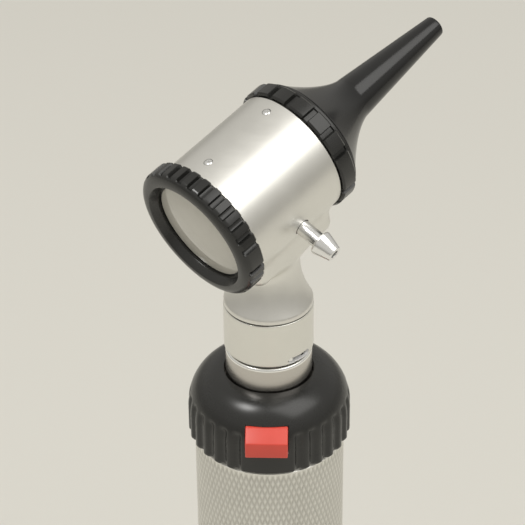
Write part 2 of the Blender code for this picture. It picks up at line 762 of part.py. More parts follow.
def keel(barrel):
    """The rounded block that joins the barrel to the neck."""
    made = block(
        "keel_block",
        (-KEEL_HALF_WIDTH, 0.4 * BARREL_RADIUS, -KEEL_REAR),
        (KEEL_HALF_WIDTH, KEEL_DEPTH, BARREL_FRONT - 0.05 * MM),
        None,
        barrel,
    )
    shape = bmesh.new()
    shape.from_mesh(made.data)
    deep = KEEL_DEPTH - 0.01 * MM
    edges = [edge for edge in shape.edges if all(corner.co.y > deep for corner in edge.verts)]
    bmesh.ops.bevel(shape, geom=edges, offset=KEEL_ROUNDING, segments=4, profile=0.5, affect="EDGES")
    shape.to_mesh(made.data)
    shape.free()
    return made


def lens_tail_bore():
    return LENS_TAIL_RADIUS + RUNNING


def head_housing(head, barrel):
    """Barrel, keel and neck in one casting, bored for the light and the line of sight."""
    spigot_end = BARREL_FRONT + FRONT_SPIGOT
    section = [
        (0, -BARREL_REAR),
        (BARREL_RADIUS - 0.2 * MM, -BARREL_REAR),
        (BARREL_RADIUS, -BARREL_REAR + 0.2 * MM),
        (BARREL_RADIUS, BARREL_FRONT - 0.2 * MM),
        (BARREL_RADIUS - 0.2 * MM, BARREL_FRONT),
        (FRONT_SPIGOT_RADIUS, BARREL_FRONT),
        (FRONT_SPIGOT_RADIUS, spigot_end),
        (0, spigot_end),
    ]
    housing = turned("head_housing", section, "satin_aluminium", barrel, 48)
    boolean(housing, keel(barrel), "UNION")
    boolean(housing, neck(head), "UNION")
    past = 1 * MM
    tail = LENS_RING_TAIL_END + GAP
    bore = [
        (0, -BARREL_REAR - past),
        (lens_tail_bore(), -BARREL_REAR - past),
        (lens_tail_bore(), tail),
        (BARREL_BORE, tail),
        (BARREL_BORE, spigot_end + past),
        (0, spigot_end + past),
    ]
    boolean(housing, turned("sight_bore", bore, None, barrel, 40), "DIFFERENCE")
    spigot_bore = SPIGOT_RADIUS + GAP
    flange_top = SLEEVE_TOP + SPIGOT_HEIGHT + GAP + LAMP_FLANGE + GAP
    lamp = [
        (0, SLEEVE_TOP - past),
        (spigot_bore, SLEEVE_TOP - past),
        (spigot_bore, flange_top),
        (BULB_RADIUS + 2 * GAP, flange_top),
        (BULB_RADIUS + 2 * GAP, BARREL - 0.6 * BARREL_BORE),
        (0, BARREL - 0.6 * BARREL_BORE),
    ]
    boolean(housing, turned("lamp_bore", lamp, None, head, 24), "DIFFERENCE")
    for name, place in (("rear_screw_hole", REAR_SCREW), ("front_screw_hole", FRONT_SCREW)):
        hole = rod(name, SCREW_RADIUS + GAP, Vector((0, -0.5 * BARREL_RADIUS, place)),
                   Vector((0, -BARREL_RADIUS - past, place)), None, barrel, 12)
        boolean(housing, hole, "DIFFERENCE")
    start, along = port_line()
    hole = rod("port_hole", PORT_RADIUS + GAP, start + along * 0.6 * BARREL_BORE,
               start + along * (BARREL_RADIUS + 2 * past), None, barrel, 16)
    boolean(housing, hole, "DIFFERENCE")


def port_line():
    """Where the hose nipple's axis leaves the barrel's, and its direction, in the barrel's frame."""
    droop = math.radians(PORT_DROOP)
    return Vector((0, 0, PORT_PLACE)), Vector((math.cos(droop), math.sin(droop), 0))


def port_nipple(barrel):
    start, along = port_line()
    inner = BARREL_BORE + GAP
    shoulder = BARREL_RADIUS + PORT_TUBE
    tip = shoulder + BARB_LENGTH
    section = [
        (PORT_BORE, inner),
        (PORT_RADIUS, inner),
        (PORT_RADIUS, shoulder),
        (BARB_RADIUS - 0.2 * MM, shoulder),
        (BARB_RADIUS, shoulder + 0.3 * MM),
        (PORT_RADIUS, tip),
        (PORT_BORE, tip),
    ]
    made = turned("port_nipple", section, "chrome", barrel, 24)
    made.matrix_local = Matrix.Translation(start) @ along.to_track_quat("Z", "Y").to_matrix().to_4x4()


def top_screws(barrel):
    """Two small screws on the barrel's top line: one holds the lens ring, one the cone."""
    depths = {"rear_screw": lens_tail_bore(), "front_screw": BARREL_BORE + GAP}
    for name, place in (("rear_screw", REAR_SCREW), ("front_screw", FRONT_SCREW)):
        rod(name, SCREW_RADIUS, Vector((0, -depths[name], place)),
            Vector((0, -BARREL_RADIUS - SCREW_PROUD, place)), "chrome", barrel, 16)


def lamp_pieces(head):
    """The lamp stands in the neck, its foot on the plunger and its flange on the sleeve's spigot."""
    seat = SLEEVE_TOP + SPIGOT_HEIGHT + GAP
    top = seat + LAMP_FLANGE
    base = [
        (0, PLUNGER_TOP + GAP),
        (LAMP_RADIUS - 1.0 * MM, PLUNGER_TOP + GAP),
        (LAMP_RADIUS, PLUNGER_TOP + GAP + 0.6 * MM),
        (LAMP_RADIUS, seat),
        (LAMP_FLANGE_RADIUS, seat),
        (LAMP_FLANGE_RADIUS, top),
        (0, top),
    ]
    turned("lamp_base", base, "brass", head, 24)
    foot = top + GAP
    dome = arc(0, foot + BULB_HEIGHT - BULB_RADIUS, BULB_RADIUS, BULB_RADIUS, 0, 75, 4)
    bulb = [(0, foot), (BULB_RADIUS, foot), *dome, (0, foot + BULB_HEIGHT)]
    turned("lamp_bulb", bulb, "bulb_glass", head, 24)


def light_guide(head):
    """The fibre bundle: up from the lamp, round a bend, and along the barrel's floor to the cone."""
    tilt = math.radians(BARREL_TILT)
    forward = Vector((0, math.cos(tilt), math.sin(tilt)))
    down = Vector((0, math.sin(tilt), -math.cos(tilt)))
    centre = Vector((0, 0, BARREL))
    foot = SLEEVE_TOP + SPIGOT_HEIGHT + LAMP_FLANGE + BULB_HEIGHT + 3 * GAP
    start = Vector((0, 0, foot))
    corner = Vector((0, 0, BARREL - GUIDE_DROP / math.cos(tilt)))
    end = centre + forward * GUIDE_REACH + down * GUIDE_END_DROP
    bend = 4.0 * MM
    into = corner + (start - corner).normalized() * bend
    out = corner + (end - corner).normalized() * bend
    points = [start, (start + into) / 2]
    for step in range(9):
        share = step / 8
        points.append(into * (1 - share) ** 2 + corner * 2 * share * (1 - share) + out * share ** 2)
    points += [(out + end) / 2, end]
    wire("light_guide", points, GUIDE_RADIUS, "fibre", head, 2)


# ---------------------------------------------------------------- eyepiece


def lens_ring(parent):
    """The ribbed ring: its tail turns in the barrel, and its lip holds the magnifier."""
    shoulder = LENS_RING_REAR + LENS_RING_SHOULDER
    mouth = LENS_RING_RIM - 0.5 * MM
    wall = LENS_SEAT_RADIUS - GAP
    rounding = arc(LENS_RING_RIM, shoulder, LENS_RING_RADIUS - LENS_RING_RIM, LENS_RING_SHOULDER, 0, -90, 2)
    bevel = 0.25 * MM
    section = [
        (LENS_LIP_RADIUS, LIP_FRONT),
        (LENS_SEAT_RADIUS, LIP_FRONT),
        (LENS_SEAT_RADIUS, LENS_RING_TAIL_END),
        (LENS_TAIL_RADIUS, LENS_RING_TAIL_END),
        (LENS_TAIL_RADIUS, LENS_RING_FRONT),
        (LENS_RING_RADIUS - bevel, LENS_RING_FRONT),
        (LENS_RING_RADIUS, LENS_RING_FRONT - bevel),
        *rounding,
        (mouth, LENS_RING_REAR + 0.3 * MM),
        (wall, LENS_RING_REAR + 1.4 * MM),
        (wall, LIP_REAR),
        (LENS_LIP_RADIUS, LIP_REAR),
    ]
    end = LENS_RING_FRONT - bevel / 2
    relief = fluting(RIB_COUNT, RIB_DEPTH, shoulder, end, LENS_RING_RADIUS - bevel / 2)
    turned("lens_ring", section, "black_plastic", parent, 2 * RIB_COUNT, relief)


def lens_pieces(parent):
    """Seal, magnifier and retainer, stacked forward from the ring's lip."""
    outer = LENS_SEAT_RADIUS - GAP
    seal = LIP_FRONT + GAP
    turned("lens_seal", tube_section(outer - 0.7 * MM, outer, seal, seal + LENS_SEAL), "rubber", parent, 28)
    rim = seal + LENS_SEAL + GAP
    curve = ((outer - 0.3 * MM) ** 2 + LENS_BULGE ** 2) / (2 * LENS_BULGE)
    span = math.degrees(math.asin((outer - 0.3 * MM) / curve))
    front = arc(0, rim + LENS_EDGE + LENS_BULGE - curve, curve, curve, 90 - span, 90, 4)
    back = arc(0, rim - LENS_BULGE + curve, curve, curve, -90, -90 + span, 4)
    back[0] = (0, rim - LENS_BULGE)
    front[-1] = (0, rim + LENS_EDGE + LENS_BULGE)
    turned("magnifier", [*back, (outer, rim), (outer, rim + LENS_EDGE), *front], "optical_glass", parent, 28)
    low = rim + LENS_EDGE + GAP
    turned("lens_retainer", tube_section(RETAINER_BORE, outer, low, low + RETAINER_LENGTH),
           "black_anodised", parent, 28)


# ---------------------------------------------------------------- speculum


def front_ring(parent):
    """The grip ring, which turns on the barrel's front spigot."""
    bore = FRONT_SPIGOT_RADIUS + RUNNING
    step = 0.3 * MM
    band_end = FRONT_RING_FRONT - 0.8 * MM
    lip = FRONT_SPIGOT_RADIUS - 0.6 * MM
    section = [
        (bore, FRONT_RING_REAR),
        (FRONT_RING_RADIUS - step, FRONT_RING_REAR),
        (FRONT_RING_RADIUS, FRONT_RING_REAR + step),
        (FRONT_RING_RADIUS, band_end - step),
        (FRONT_RING_FACE, band_end),
        (FRONT_RING_FACE, FRONT_RING_FRONT - step / 2),
        (FRONT_RING_FACE - step / 2, FRONT_RING_FRONT),
        (lip, FRONT_RING_FRONT),
        (lip, BARREL_FRONT + FRONT_SPIGOT + GAP),
        (bore, BARREL_FRONT + FRONT_SPIGOT + GAP),
    ]

    def relief(angle, radius, height):
        groove = round(angle / math.tau * 4 * LAND_COUNT) % 4 == 0
        outside = radius > FRONT_RING_RADIUS - 2 * step and height < band_end - step / 2
        return LAND_DEPTH if groove and outside else 0

    turned("front_ring", section, "black_plastic", parent, 4 * LAND_COUNT, relief)


def speculum_radius(along):
    """Outer radius at a distance from the speculum's base: a flare that runs into a slender cone."""
    taper = (FLARE_RADIUS - SPECULUM_TIP_RADIUS) / (SPECULUM_LENGTH - FLARE_LENGTH)
    slender = FLARE_RADIUS + taper * (FLARE_LENGTH - along)
    short = max(0.0, 1 - along / FLARE_LENGTH)
    spread = SPECULUM_BASE_RADIUS - (FLARE_RADIUS + taper * FLARE_LENGTH)
    return slender + spread * short ** 1.55


def speculum(parent):
    stations = [FLARE_LENGTH * step / 6 for step in range(7)]
    stations += [FLARE_LENGTH + (SPECULUM_LENGTH - FLARE_LENGTH) * step / 2 for step in range(1, 3)]
    outside = [(speculum_radius(place), SPECULUM_REAR + place) for place in stations]
    inside = [(radius - SPECULUM_WALL, height) for radius, height in outside]
    turned("speculum", outside + inside[::-1], "speculum_plastic", parent, 36)


def nose_cone(barrel):
    """The fixed cone that the speculum sits on; its flange is screwed inside the barrel."""
    inset = SPECULUM_WALL + GAP
    flange = BARREL_BORE - GAP
    first = 1.4 * MM
    stations = [first + (CONE_LENGTH - first) * step / 5 for step in range(6)]
    outside = [(speculum_radius(place) - inset, SPECULUM_REAR + place) for place in stations]
    inside = [(radius - CONE_WALL, height) for radius, height in outside]
    rear = SPECULUM_REAR - CONE_FLANGE
    outside = [point for point in outside if point[0] < flange]
    outside = [(flange, rear), (flange, SPECULUM_REAR - GAP)] + outside
    inside = [(flange - CONE_WALL, rear), (flange - CONE_WALL, SPECULUM_REAR - GAP)] + [
        point for point in inside if point[0] < flange - CONE_WALL
    ]
    turned("nose_cone", outside + inside[::-1], "black_anodised", barrel, 28)


def main():
    clear_scene()
    handle = axis("handle_axis", (0, 0, 0))
    cap = axis("cap_axis", (0, 0, 0), parent=handle)
    collar = axis("collar_axis", (0, 0, 0), parent=handle)
    head = axis("head_axis", (0, 0, 0), parent=handle)
    lean = (math.radians(BARREL_TILT - 90), 0, 0)
    barrel = axis("barrel_axis", (0, 0, BARREL), lean, head)
    eyepiece = axis("eyepiece_axis", (0, 0, 0), parent=barrel)
    grip = axis("grip_axis", (0, 0, 0), parent=barrel)
    tip = axis("speculum_axis", (0, 0, 0), parent=barrel)

    handle_tube(handle)
    cap_pieces(cap)
    power_cell("cell_lower", LOWER_CELL, handle)
    power_cell("cell_upper", UPPER_CELL, handle)
    contact_pieces(handle)
    switch_carrier(handle)
    rheostat_track(handle)
    coupling_pieces(handle)
    plunger_pieces(handle)

    collar_shell(collar)
    collar_bearing(collar)
    wiper(collar)
    button_pieces(collar)

    bayonet_sleeve(head)
    head_housing(head, barrel)
    port_nipple(barrel)
    top_screws(barrel)
    lamp_pieces(head)
    light_guide(head)

    lens_ring(eyepiece)
    lens_pieces(eyepiece)
    nose_cone(barrel)
    front_ring(grip)
    speculum(tip)


main()
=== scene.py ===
# %% [markdown]
# # A battery otoscope, piece by piece
#
# An otoscope is a lamp, a tube and a magnifier: the handle holds two cells, the head bends their
# light along a bundle of fibres, and the reader looks through the lens ring and out of the ear
# speculum. The working model, with its sizes, joints and hidden pieces, comes in as a fixed
# frame. This lesson makes the surfaces that are seen: each piece is built where the frame says,
# gets a finish of its own, and is told which moving body it rides on.

# %% Load the frame
import json
import math

import bmesh
import bpy
from mathutils import Matrix, Vector


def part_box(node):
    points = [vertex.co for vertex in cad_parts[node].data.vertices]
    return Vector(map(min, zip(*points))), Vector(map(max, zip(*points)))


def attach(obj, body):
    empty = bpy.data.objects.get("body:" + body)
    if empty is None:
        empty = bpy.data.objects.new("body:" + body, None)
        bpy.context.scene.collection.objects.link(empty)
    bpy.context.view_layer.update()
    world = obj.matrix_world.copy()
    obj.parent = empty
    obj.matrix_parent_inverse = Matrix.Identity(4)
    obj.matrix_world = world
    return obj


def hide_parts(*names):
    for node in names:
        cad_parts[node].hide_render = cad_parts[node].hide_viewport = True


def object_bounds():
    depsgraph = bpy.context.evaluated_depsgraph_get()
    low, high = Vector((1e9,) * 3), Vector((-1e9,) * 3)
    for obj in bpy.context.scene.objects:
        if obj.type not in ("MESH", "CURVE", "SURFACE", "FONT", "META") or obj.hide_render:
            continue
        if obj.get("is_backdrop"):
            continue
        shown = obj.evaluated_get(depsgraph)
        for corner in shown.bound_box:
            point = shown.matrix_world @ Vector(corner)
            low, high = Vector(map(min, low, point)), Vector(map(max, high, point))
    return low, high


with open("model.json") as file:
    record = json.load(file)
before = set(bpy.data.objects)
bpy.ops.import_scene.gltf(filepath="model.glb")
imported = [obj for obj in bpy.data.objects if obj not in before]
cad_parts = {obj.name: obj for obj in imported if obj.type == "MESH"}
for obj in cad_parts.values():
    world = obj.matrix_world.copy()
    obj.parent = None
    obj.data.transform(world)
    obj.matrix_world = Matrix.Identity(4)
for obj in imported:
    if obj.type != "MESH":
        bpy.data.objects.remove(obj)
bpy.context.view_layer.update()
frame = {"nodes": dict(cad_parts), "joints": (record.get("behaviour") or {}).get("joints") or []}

MM = 0.001
GAP = 0.3 * MM  # what the frame leaves between pieces that touch

# %% [markdown]
# ## Two axes
#
# Nearly every piece of an otoscope is turned on a lathe, about one of two axes. The handle's is
# upright. The barrel's leans back a little, and the joint of the lens ring says where it is. A
# turned piece is drawn as half a section, a radius and a height at each corner, and then placed.

# %% The barrel's axis and the main sizes
lens_joint = next(joint for joint in frame["joints"] if joint["name"] == "lens_ring_turn")
BARREL = lens_joint["pos_m"][2]
TILT = math.asin(lens_joint["axis"][2])
UPRIGHT = Matrix.Identity(4)
BARREL_PLACE = Matrix.Translation((0, 0, BARREL)) @ Matrix.Rotation(TILT - math.pi / 2, 4, "X")


def on_barrel(node, within=1.0):
    """Where a node starts and ends on the barrel's axis, and its radius, as far out as asked."""
    back = BARREL_PLACE.inverted()
    points = [back @ corner.co for corner in frame["nodes"][node].data.vertices]
    points = [point for point in points if math.hypot(point.x, point.y) < within]
    heights = [point.z for point in points]
    return min(heights), max(heights), max(math.hypot(point.x, point.y) for point in points)


HANDLE_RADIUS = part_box("handle_tube")[1].x
TUBE_BOTTOM, TUBE_TOP = (corner.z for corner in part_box("handle_tube"))
COLLAR, COLLAR_TOP = (corner.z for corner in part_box("collar_shell"))
COLLAR_RADIUS = max(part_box("collar_shell")[1].x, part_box("collar_shell")[1].y)
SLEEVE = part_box("bayonet_sleeve")[0].z
SLEEVE_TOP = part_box("head_housing")[0].z - GAP
SLEEVE_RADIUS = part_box("bayonet_sleeve")[1].x
BARREL_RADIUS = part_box("head_housing")[1].x
BARREL_REAR, SPIGOT_END, _ = on_barrel("head_housing", BARREL_RADIUS + GAP)
print("barrel axis at", round(BARREL / MM, 2), "mm, leaning", round(math.degrees(TILT), 1), "degrees")

# %% [markdown]
# ## Expressions instead of wires
#
# A node tree is a sum written with wires, and a long one is hard to read. The class below wraps
# one socket. Arithmetic on it adds Math nodes, and one method adds any other node, so a pattern
# or a shape reads like the formula it is. It serves materials and geometry alike.

# %% One value in a node tree
class Flow:
    """A value in a node tree; arithmetic on it adds Math nodes."""

    def __init__(self, tree, socket=None):
        self.tree = tree
        self.socket = socket

    def node(self, kind, settings=None, values=None, out=0):
        """Adds a node: its settings first, then its sockets' values or links."""
        made = self.tree.nodes.new(kind)
        for key, value in (settings or {}).items():
            setattr(made, key, value)
        for key, value in (values or {}).items():
            if isinstance(value, Flow):
                self.tree.links.new(value.socket, made.inputs[key])
            else:
                made.inputs[key].default_value = value
        return Flow(self.tree, made.outputs[out])

    def also(self, out):
        """Another output of the node that this value comes from."""
        return Flow(self.tree, self.socket.node.outputs[out])

    def math(self, operation, *others):
        return self.node("ShaderNodeMath", {"operation": operation}, dict(enumerate((self, *others))))

    def __add__(self, other):
        return self.math("ADD", other)

    def __sub__(self, other):
        return self.math("SUBTRACT", other)

    def __rsub__(self, other):
        return self.node("ShaderNodeMath", {"operation": "SUBTRACT"}, {0: other, 1: self})

    def __mul__(self, other):
        return self.math("MULTIPLY", other)

    def __truediv__(self, other):
        return self.math("DIVIDE", other)

    def __lt__(self, other):
        return self.math("LESS_THAN", other)

    def __gt__(self, other):
        return self.math("GREATER_THAN", other)

    __radd__ = __add__
    __rmul__ = __mul__

    def smooth(self, low, high):
        """0 below low, 1 above high, and an easy slope between."""
        return self.node(
            "ShaderNodeMapRange",
            {"interpolation_type": "SMOOTHSTEP"},
            {"Value": self, "From Min": low, "From Max": high},
        )

    def parts(self):
        """The three numbers of a vector."""
        split = self.node("ShaderNodeSeparateXYZ", None, {0: self})
        return split, split.also(1), split.also(2)


print("Flow ready")

# %% [markdown]
# ## Finishes
#
# A finish is more than a colour. Satin aluminium has a fine blasted grain, moulded plastic a
# faint orange peel, and both vary a little in gloss where hands have been. Each finish starts
# from a Principled shader and Object coordinates, which stay put on the piece as it moves.

# %% The start of every finish
def surface(name, colour, roughness, metallic=0.0, **fixed):
    """A material, its shader, and a Flow of object coordinates."""
    made = bpy.data.materials.new(name)
    made.use_nodes = True
    shader = made.node_tree.nodes["Principled BSDF"]
    shader.inputs["Base Color"].default_value = (*colour, 1.0)
    shader.inputs["Roughness"].default_value = roughness
    shader.inputs["Metallic"].default_value = metallic
    for socket, value in fixed.items():
        shader.inputs[socket.replace("_", " ")].default_value = value
    place = Flow(made.node_tree).node("ShaderNodeTexCoord", out="Object")
    return made, shader, place


def feed(shader, socket, flow):
    flow.tree.links.new(flow.socket, shader.inputs[socket])


def mixed(low, high, share):
    """A colour between two, by a share from 0 to 1."""
    return share.node(
        "ShaderNodeMix", {"data_type": "RGBA"}, {0: share, 6: (*low, 1.0), 7: (*high, 1.0)}, out=2
    )


def noise(place, scale, detail=3.0):
    return place.node("ShaderNodeTexNoise", None, {"Vector": place, "Scale": scale, "Detail": detail})


def stretched(place, scale, rotation=(0, 0, 0), location=(0, 0, 0)):
    """Coordinates turned and scaled, for a pattern with a direction."""
    values = {"Vector": place, "Scale": scale, "Rotation": rotation, "Location": location}
    return place.node("ShaderNodeMapping", None, values)


def bumped(shader, height, strength, depth):
    """Raises the surface by height times depth, in metres."""
    bump = height.node("ShaderNodeBump", None, {"Strength": strength, "Distance": depth, "Height": height})
    feed(shader, "Normal", bump)


print("finish helpers ready")

# %% [markdown]
# ### Metals
#
# The barrel and the sleeve are turned and then blasted, which leaves a soft grain with a trace
# of the lathe's rings. The rings run round the piece, so the noise is squeezed along the axis.
# The nipple and the coupling ring are polished: sharp reflections with a few hairlines.

# %% Aluminium and chrome
def satin(name, colour, roughness, lean):
    made, shader, place = surface(name, colour, roughness, 1.0)
    blotch = noise(place, 260.0, 2.0)
    grain = noise(place, 9000.0, 2.0)
    rings = noise(stretched(place, (60.0, 60.0, 9000.0), (lean, 0, 0)), 1.0, 2.0)
    shade = tuple(0.90 * part for part in colour)
    feed(shader, "Base Color", mixed(shade, colour, blotch * 0.6 + grain * 0.4))
    feed(shader, "Roughness", roughness - 0.05 + blotch * 0.06 + rings * 0.06)
    bumped(shader, grain * 0.6 + rings * 0.8, 0.35, 0.004 * MM)
    return made


def polished(name, colour, roughness):
    made, shader, place = surface(name, colour, roughness, 1.0)
    hairs = noise(stretched(place, (400.0, 400.0, 14000.0)), 1.0, 2.0)
    film = noise(place, 500.0, 3.0)
    feed(shader, "Base Color", mixed(tuple(0.93 * part for part in colour), colour, film))
    feed(shader, "Roughness", roughness + film * 0.06 + hairs * 0.03)
    bumped(shader, hairs, 0.15, 0.002 * MM)
    return made


SATIN_BARREL = satin("satin_aluminium_barrel", (0.83, 0.82, 0.78), 0.36, math.pi / 2 - TILT)
SATIN_SLEEVE = satin("satin_aluminium_sleeve", (0.83, 0.82, 0.77), 0.30, 0.0)
CHROME = polished("chrome_bright", (0.90, 0.90, 0.89), 0.16)


def overlaid(made, colour, share_of):
    """Lays a second colour over a finish, where a function of the coordinates says so."""
    shader = made.node_tree.nodes["Principled BSDF"]
    base = Flow(made.node_tree, shader.inputs["Base Color"].links[0].from_socket)
    share = share_of(*base.node("ShaderNodeTexCoord", out="Object").parts())
    feed(shader, "Base Color", base.node(
        "ShaderNodeMix", {"data_type": "RGBA"}, {0: share, 6: base, 7: (*colour, 1.0)}, out=2
    ))


PAINTED_SHADE = (0.02, 0.02, 0.02)  # painted shade, laid into the sleeve's slots and onto the stub inside the sleeve
COUPLING = satin("chrome_coupling", (0.62, 0.59, 0.55), 0.24, 0.0)
# painted highlight: a near-white band on the ring's rounded top edge, just under the sleeve
overlaid(COUPLING, (0.95, 0.95, 0.93), lambda x, y, z: z.smooth(SLEEVE - 1.0 * MM, SLEEVE - 0.9 * MM))
# painted shade: the stub above the ring, inside the sleeve, is darkened
overlaid(COUPLING, PAINTED_SHADE, lambda x, y, z: z.smooth(SLEEVE - GAP, SLEEVE))


def slot_shade(x, y, z):
    """1 behind the sleeve's skin, between its two rounded edges: where painted shade goes in the slots."""
    depth = SLEEVE_RADIUS - (x * x + y * y).math("SQRT")
    return depth.smooth(0.03 * MM, 0.08 * MM) * (z > SLEEVE + 0.57 * MM) * (z < SLEEVE_TOP - 1.0 * MM)


# painted shade in the sleeve's slots
overlaid(SATIN_SLEEVE, PAINTED_SHADE, slot_shade)
STEEL = polished("spring_steel_wire", (0.58, 0.58, 0.59), 0.22)
BRASS = polished("brass_contact", (0.78, 0.58, 0.26), 0.24)
print("metals:", SATIN_BARREL.name, SATIN_SLEEVE.name, CHROME.name)

# %% [markdown]
# ### The knurl's finish
#
# The knurl is darker in its valleys, and lighter and glossier on its peaks. Distance from the handle's
# axis tells peak from valley, so the material can read it from the coordinates alone.

# %% Knurled aluminium
KNURL_DEPTH = 0.26 * MM


def knurled_finish():
    peak, valley = (0.84, 0.83, 0.79), (0.60, 0.59, 0.55)
    made, shader, place = surface("knurled_aluminium_grip", peak, 0.4, 1.0)
    x, y, _ = place.parts()
    radius = (x * x + y * y).math("SQRT")
    height = radius.smooth(HANDLE_RADIUS - KNURL_DEPTH, HANDLE_RADIUS)
    blotch = noise(place, 180.0, 3.0)
    grain = noise(place, 7000.0, 2.0)
    # darker towards the valleys, lighter towards the peaks
    feed(shader, "Base Color", mixed(valley, peak, height * 0.75 + blotch * 0.3))
    feed(shader, "Roughness", 0.52 - height * 0.16 + grain * 0.08)
    bumped(shader, grain, 0.4, 0.006 * MM)
    return made


KNURLED = knurled_finish()
print("knurl finish:", KNURLED.name)

# %% [markdown]
# ### Plastics and rubber
#
# The collar and both rings are moulded in one black plastic with a slight peel. The speculum is
# glossier, because it has to wipe clean. The button is red, and its gloss breaks up where a
# thumb rubs it.

# %% Moulded pieces
def moulded(name, colour, roughness, peel, **fixed):
    made, shader, place = surface(name, colour, roughness, **fixed)
    skin = noise(place, 1600.0, 2.0)
    fine = noise(place, 8000.0, 2.0)
    rubbed = noise(place, 140.0, 3.0)
    light = tuple(min(1.0, 1.35 * part + 0.004) for part in colour)
    feed(shader, "Base Color", mixed(colour, light, rubbed * 0.7 + fine * 0.3))
    feed(shader, "Roughness", roughness - 0.06 + rubbed * 0.10 + fine * 0.04)
    bumped(shader, skin * 0.7 + fine * 0.3, peel, 0.01 * MM)
    return made


BLACK = moulded("black_plastic_moulded", (0.011, 0.011, 0.010), 0.26, 0.22, Specular_IOR_Level=0.55)
SPECULUM_BLACK = moulded("speculum_plastic_gloss", (0.006, 0.006, 0.006), 0.17, 0.10)
RED = moulded("red_plastic_button", (0.60, 0.060, 0.040), 0.36, 0.25)
WHITE = moulded("white_plastic_bearing", (0.78, 0.77, 0.72), 0.45, 0.25)
LAMINATE = moulded("insulating_laminate", (0.42, 0.25, 0.11), 0.55, 0.5)
RUBBER = moulded("rubber_seal", (0.020, 0.020, 0.020), 0.72, 0.6)
ANODISED = moulded("black_anodised_inside", (0.030, 0.030, 0.031), 0.45, 0.35, metallic=0.6)
RESISTANCE = moulded("resistance_alloy_track", (0.24, 0.19, 0.15), 0.5, 0.4, metallic=0.5)
print("moulded finishes:", BLACK.name, SPECULUM_BLACK.name, RED.name)

# %% [markdown]
# ### Glass, fibre and the cells' jackets
#
# The magnifier is glass over a pale bore. Its pale colour is painted light, standing in for the
# light seen in and through it, and it has clear reflections. The fibre bundle is a field of tiny
# round ends. A cell's jacket is printed foil: two plain bands of colour are enough, and nothing
# is written on it.

# %% The remaining finishes
def glassy(name, colour, passing):
    made, shader, place = surface(name, colour, 0.04, Transmission_Weight=passing, IOR=1.5)
    film = noise(place, 220.0, 3.0)
    feed(shader, "Roughness", 0.03 + film * 0.05)
    feed(shader, "Base Color", mixed(tuple(0.9 * part for part in colour), colour, film))
    return made


def fibre_finish():
    made, shader, place = surface("fibre_bundle", (0.75, 0.78, 0.70), 0.35)
    cells = place.node("ShaderNodeTexVoronoi", None, {"Vector": place, "Scale": 16000.0})
    feed(shader, "Base Color", mixed((0.88, 0.90, 0.82), (0.30, 0.31, 0.28), cells.smooth(0.2, 0.6)))
    bumped(shader, 1 - cells, 0.4, 0.01 * MM)
    return made


def jacket_finish():
    made, shader, place = surface("cell_jacket_foil", (0.10, 0.14, 0.20), 0.30, 0.4)
    _, _, height = place.parts()
    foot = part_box("cell_lower")[0].z
    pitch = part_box("cell_upper")[0].z - foot
    share = ((height - foot) / pitch).math("FRACT")
    band = (share > 0.68) * (share < 0.95)
    scuff = noise(place, 500.0, 4.0)
    feed(shader, "Base Color", mixed((0.09, 0.12, 0.17), (0.62, 0.45, 0.20), band * (0.85 + scuff * 0.15)))
    feed(shader, "Roughness", 0.24 + scuff * 0.16)
    bumped(shader, scuff, 0.1, 0.01 * MM)
    return made


# painted light: the glass's pale colour stands in for the light seen in and through it
LENS_GLASS = glassy("optical_glass_painted_light", (0.62, 0.60, 0.54), 0.10)
BULB_GLASS = glassy("bulb_glass_clear", (0.92, 0.92, 0.88), 0.85)
FIBRE = fibre_finish()
JACKET = jacket_finish()
print("glass, fibre and foil ready")

# %% [markdown]
# ## Growing a mesh from a tree
#
# A modifier's tree is a recipe with named inputs. It is given its values, evaluated once, and
# the result is kept as a plain mesh, so the finished piece carries no modifier. Inputs are set
# by the socket's identifier, because a name is only a label.

# %% Trees and plain meshes
def new_tree(name, kinds):
    """A geometry tree with these named inputs, and a Flow for each of them."""
    tree = bpy.data.node_groups.new(name, "GeometryNodeTree")
    tree.interface.new_socket("Geometry", in_out="INPUT", socket_type="NodeSocketGeometry")
    for label, kind in kinds.items():
        tree.interface.new_socket(label, in_out="INPUT", socket_type="NodeSocket" + kind)
    tree.interface.new_socket("Material", in_out="INPUT", socket_type="NodeSocketMaterial")
    tree.interface.new_socket("Geometry", in_out="OUTPUT", socket_type="NodeSocketGeometry")
    entry = tree.nodes.new("NodeGroupInput")
    return tree, {socket.name: Flow(tree, socket) for socket in entry.outputs if socket.name}


def close_tree(geometry, material):
    """Ends a tree: instances become real, and the finish goes on."""
    real = geometry.node("GeometryNodeRealizeInstances", None, {"Geometry": geometry})
    coated = real.node("GeometryNodeSetMaterial", None, {"Geometry": real, "Material": material})
    exit_node = geometry.tree.nodes.new("NodeGroupOutput")
    geometry.tree.links.new(coated.socket, exit_node.inputs[0])


def linked(name, mesh):
    made = bpy.data.objects.new(name, mesh)
    bpy.context.scene.collection.objects.link(made)
    return made


def plain(piece):
    """Replaces the piece's mesh by its evaluated one, and drops its modifiers."""
    bpy.context.view_layer.update()
    graph = bpy.context.evaluated_depsgraph_get()
    mesh = bpy.data.meshes.new_from_object(piece.evaluated_get(graph), depsgraph=graph)
    piece.modifiers.clear()
    piece.data = mesh
    return piece


def grown(name, tree, values, source=None):
    """An object whose mesh the tree has made from the source mesh."""
    piece = linked(name, source or bpy.data.meshes.new(name))
    step = piece.modifiers.new(tree.name, "NODES")
    step.node_group = tree
    for item in tree.interface.items_tree:
        if item.in_out == "INPUT" and item.name in values:
            step[item.identifier] = values[item.name]
    return plain(piece)


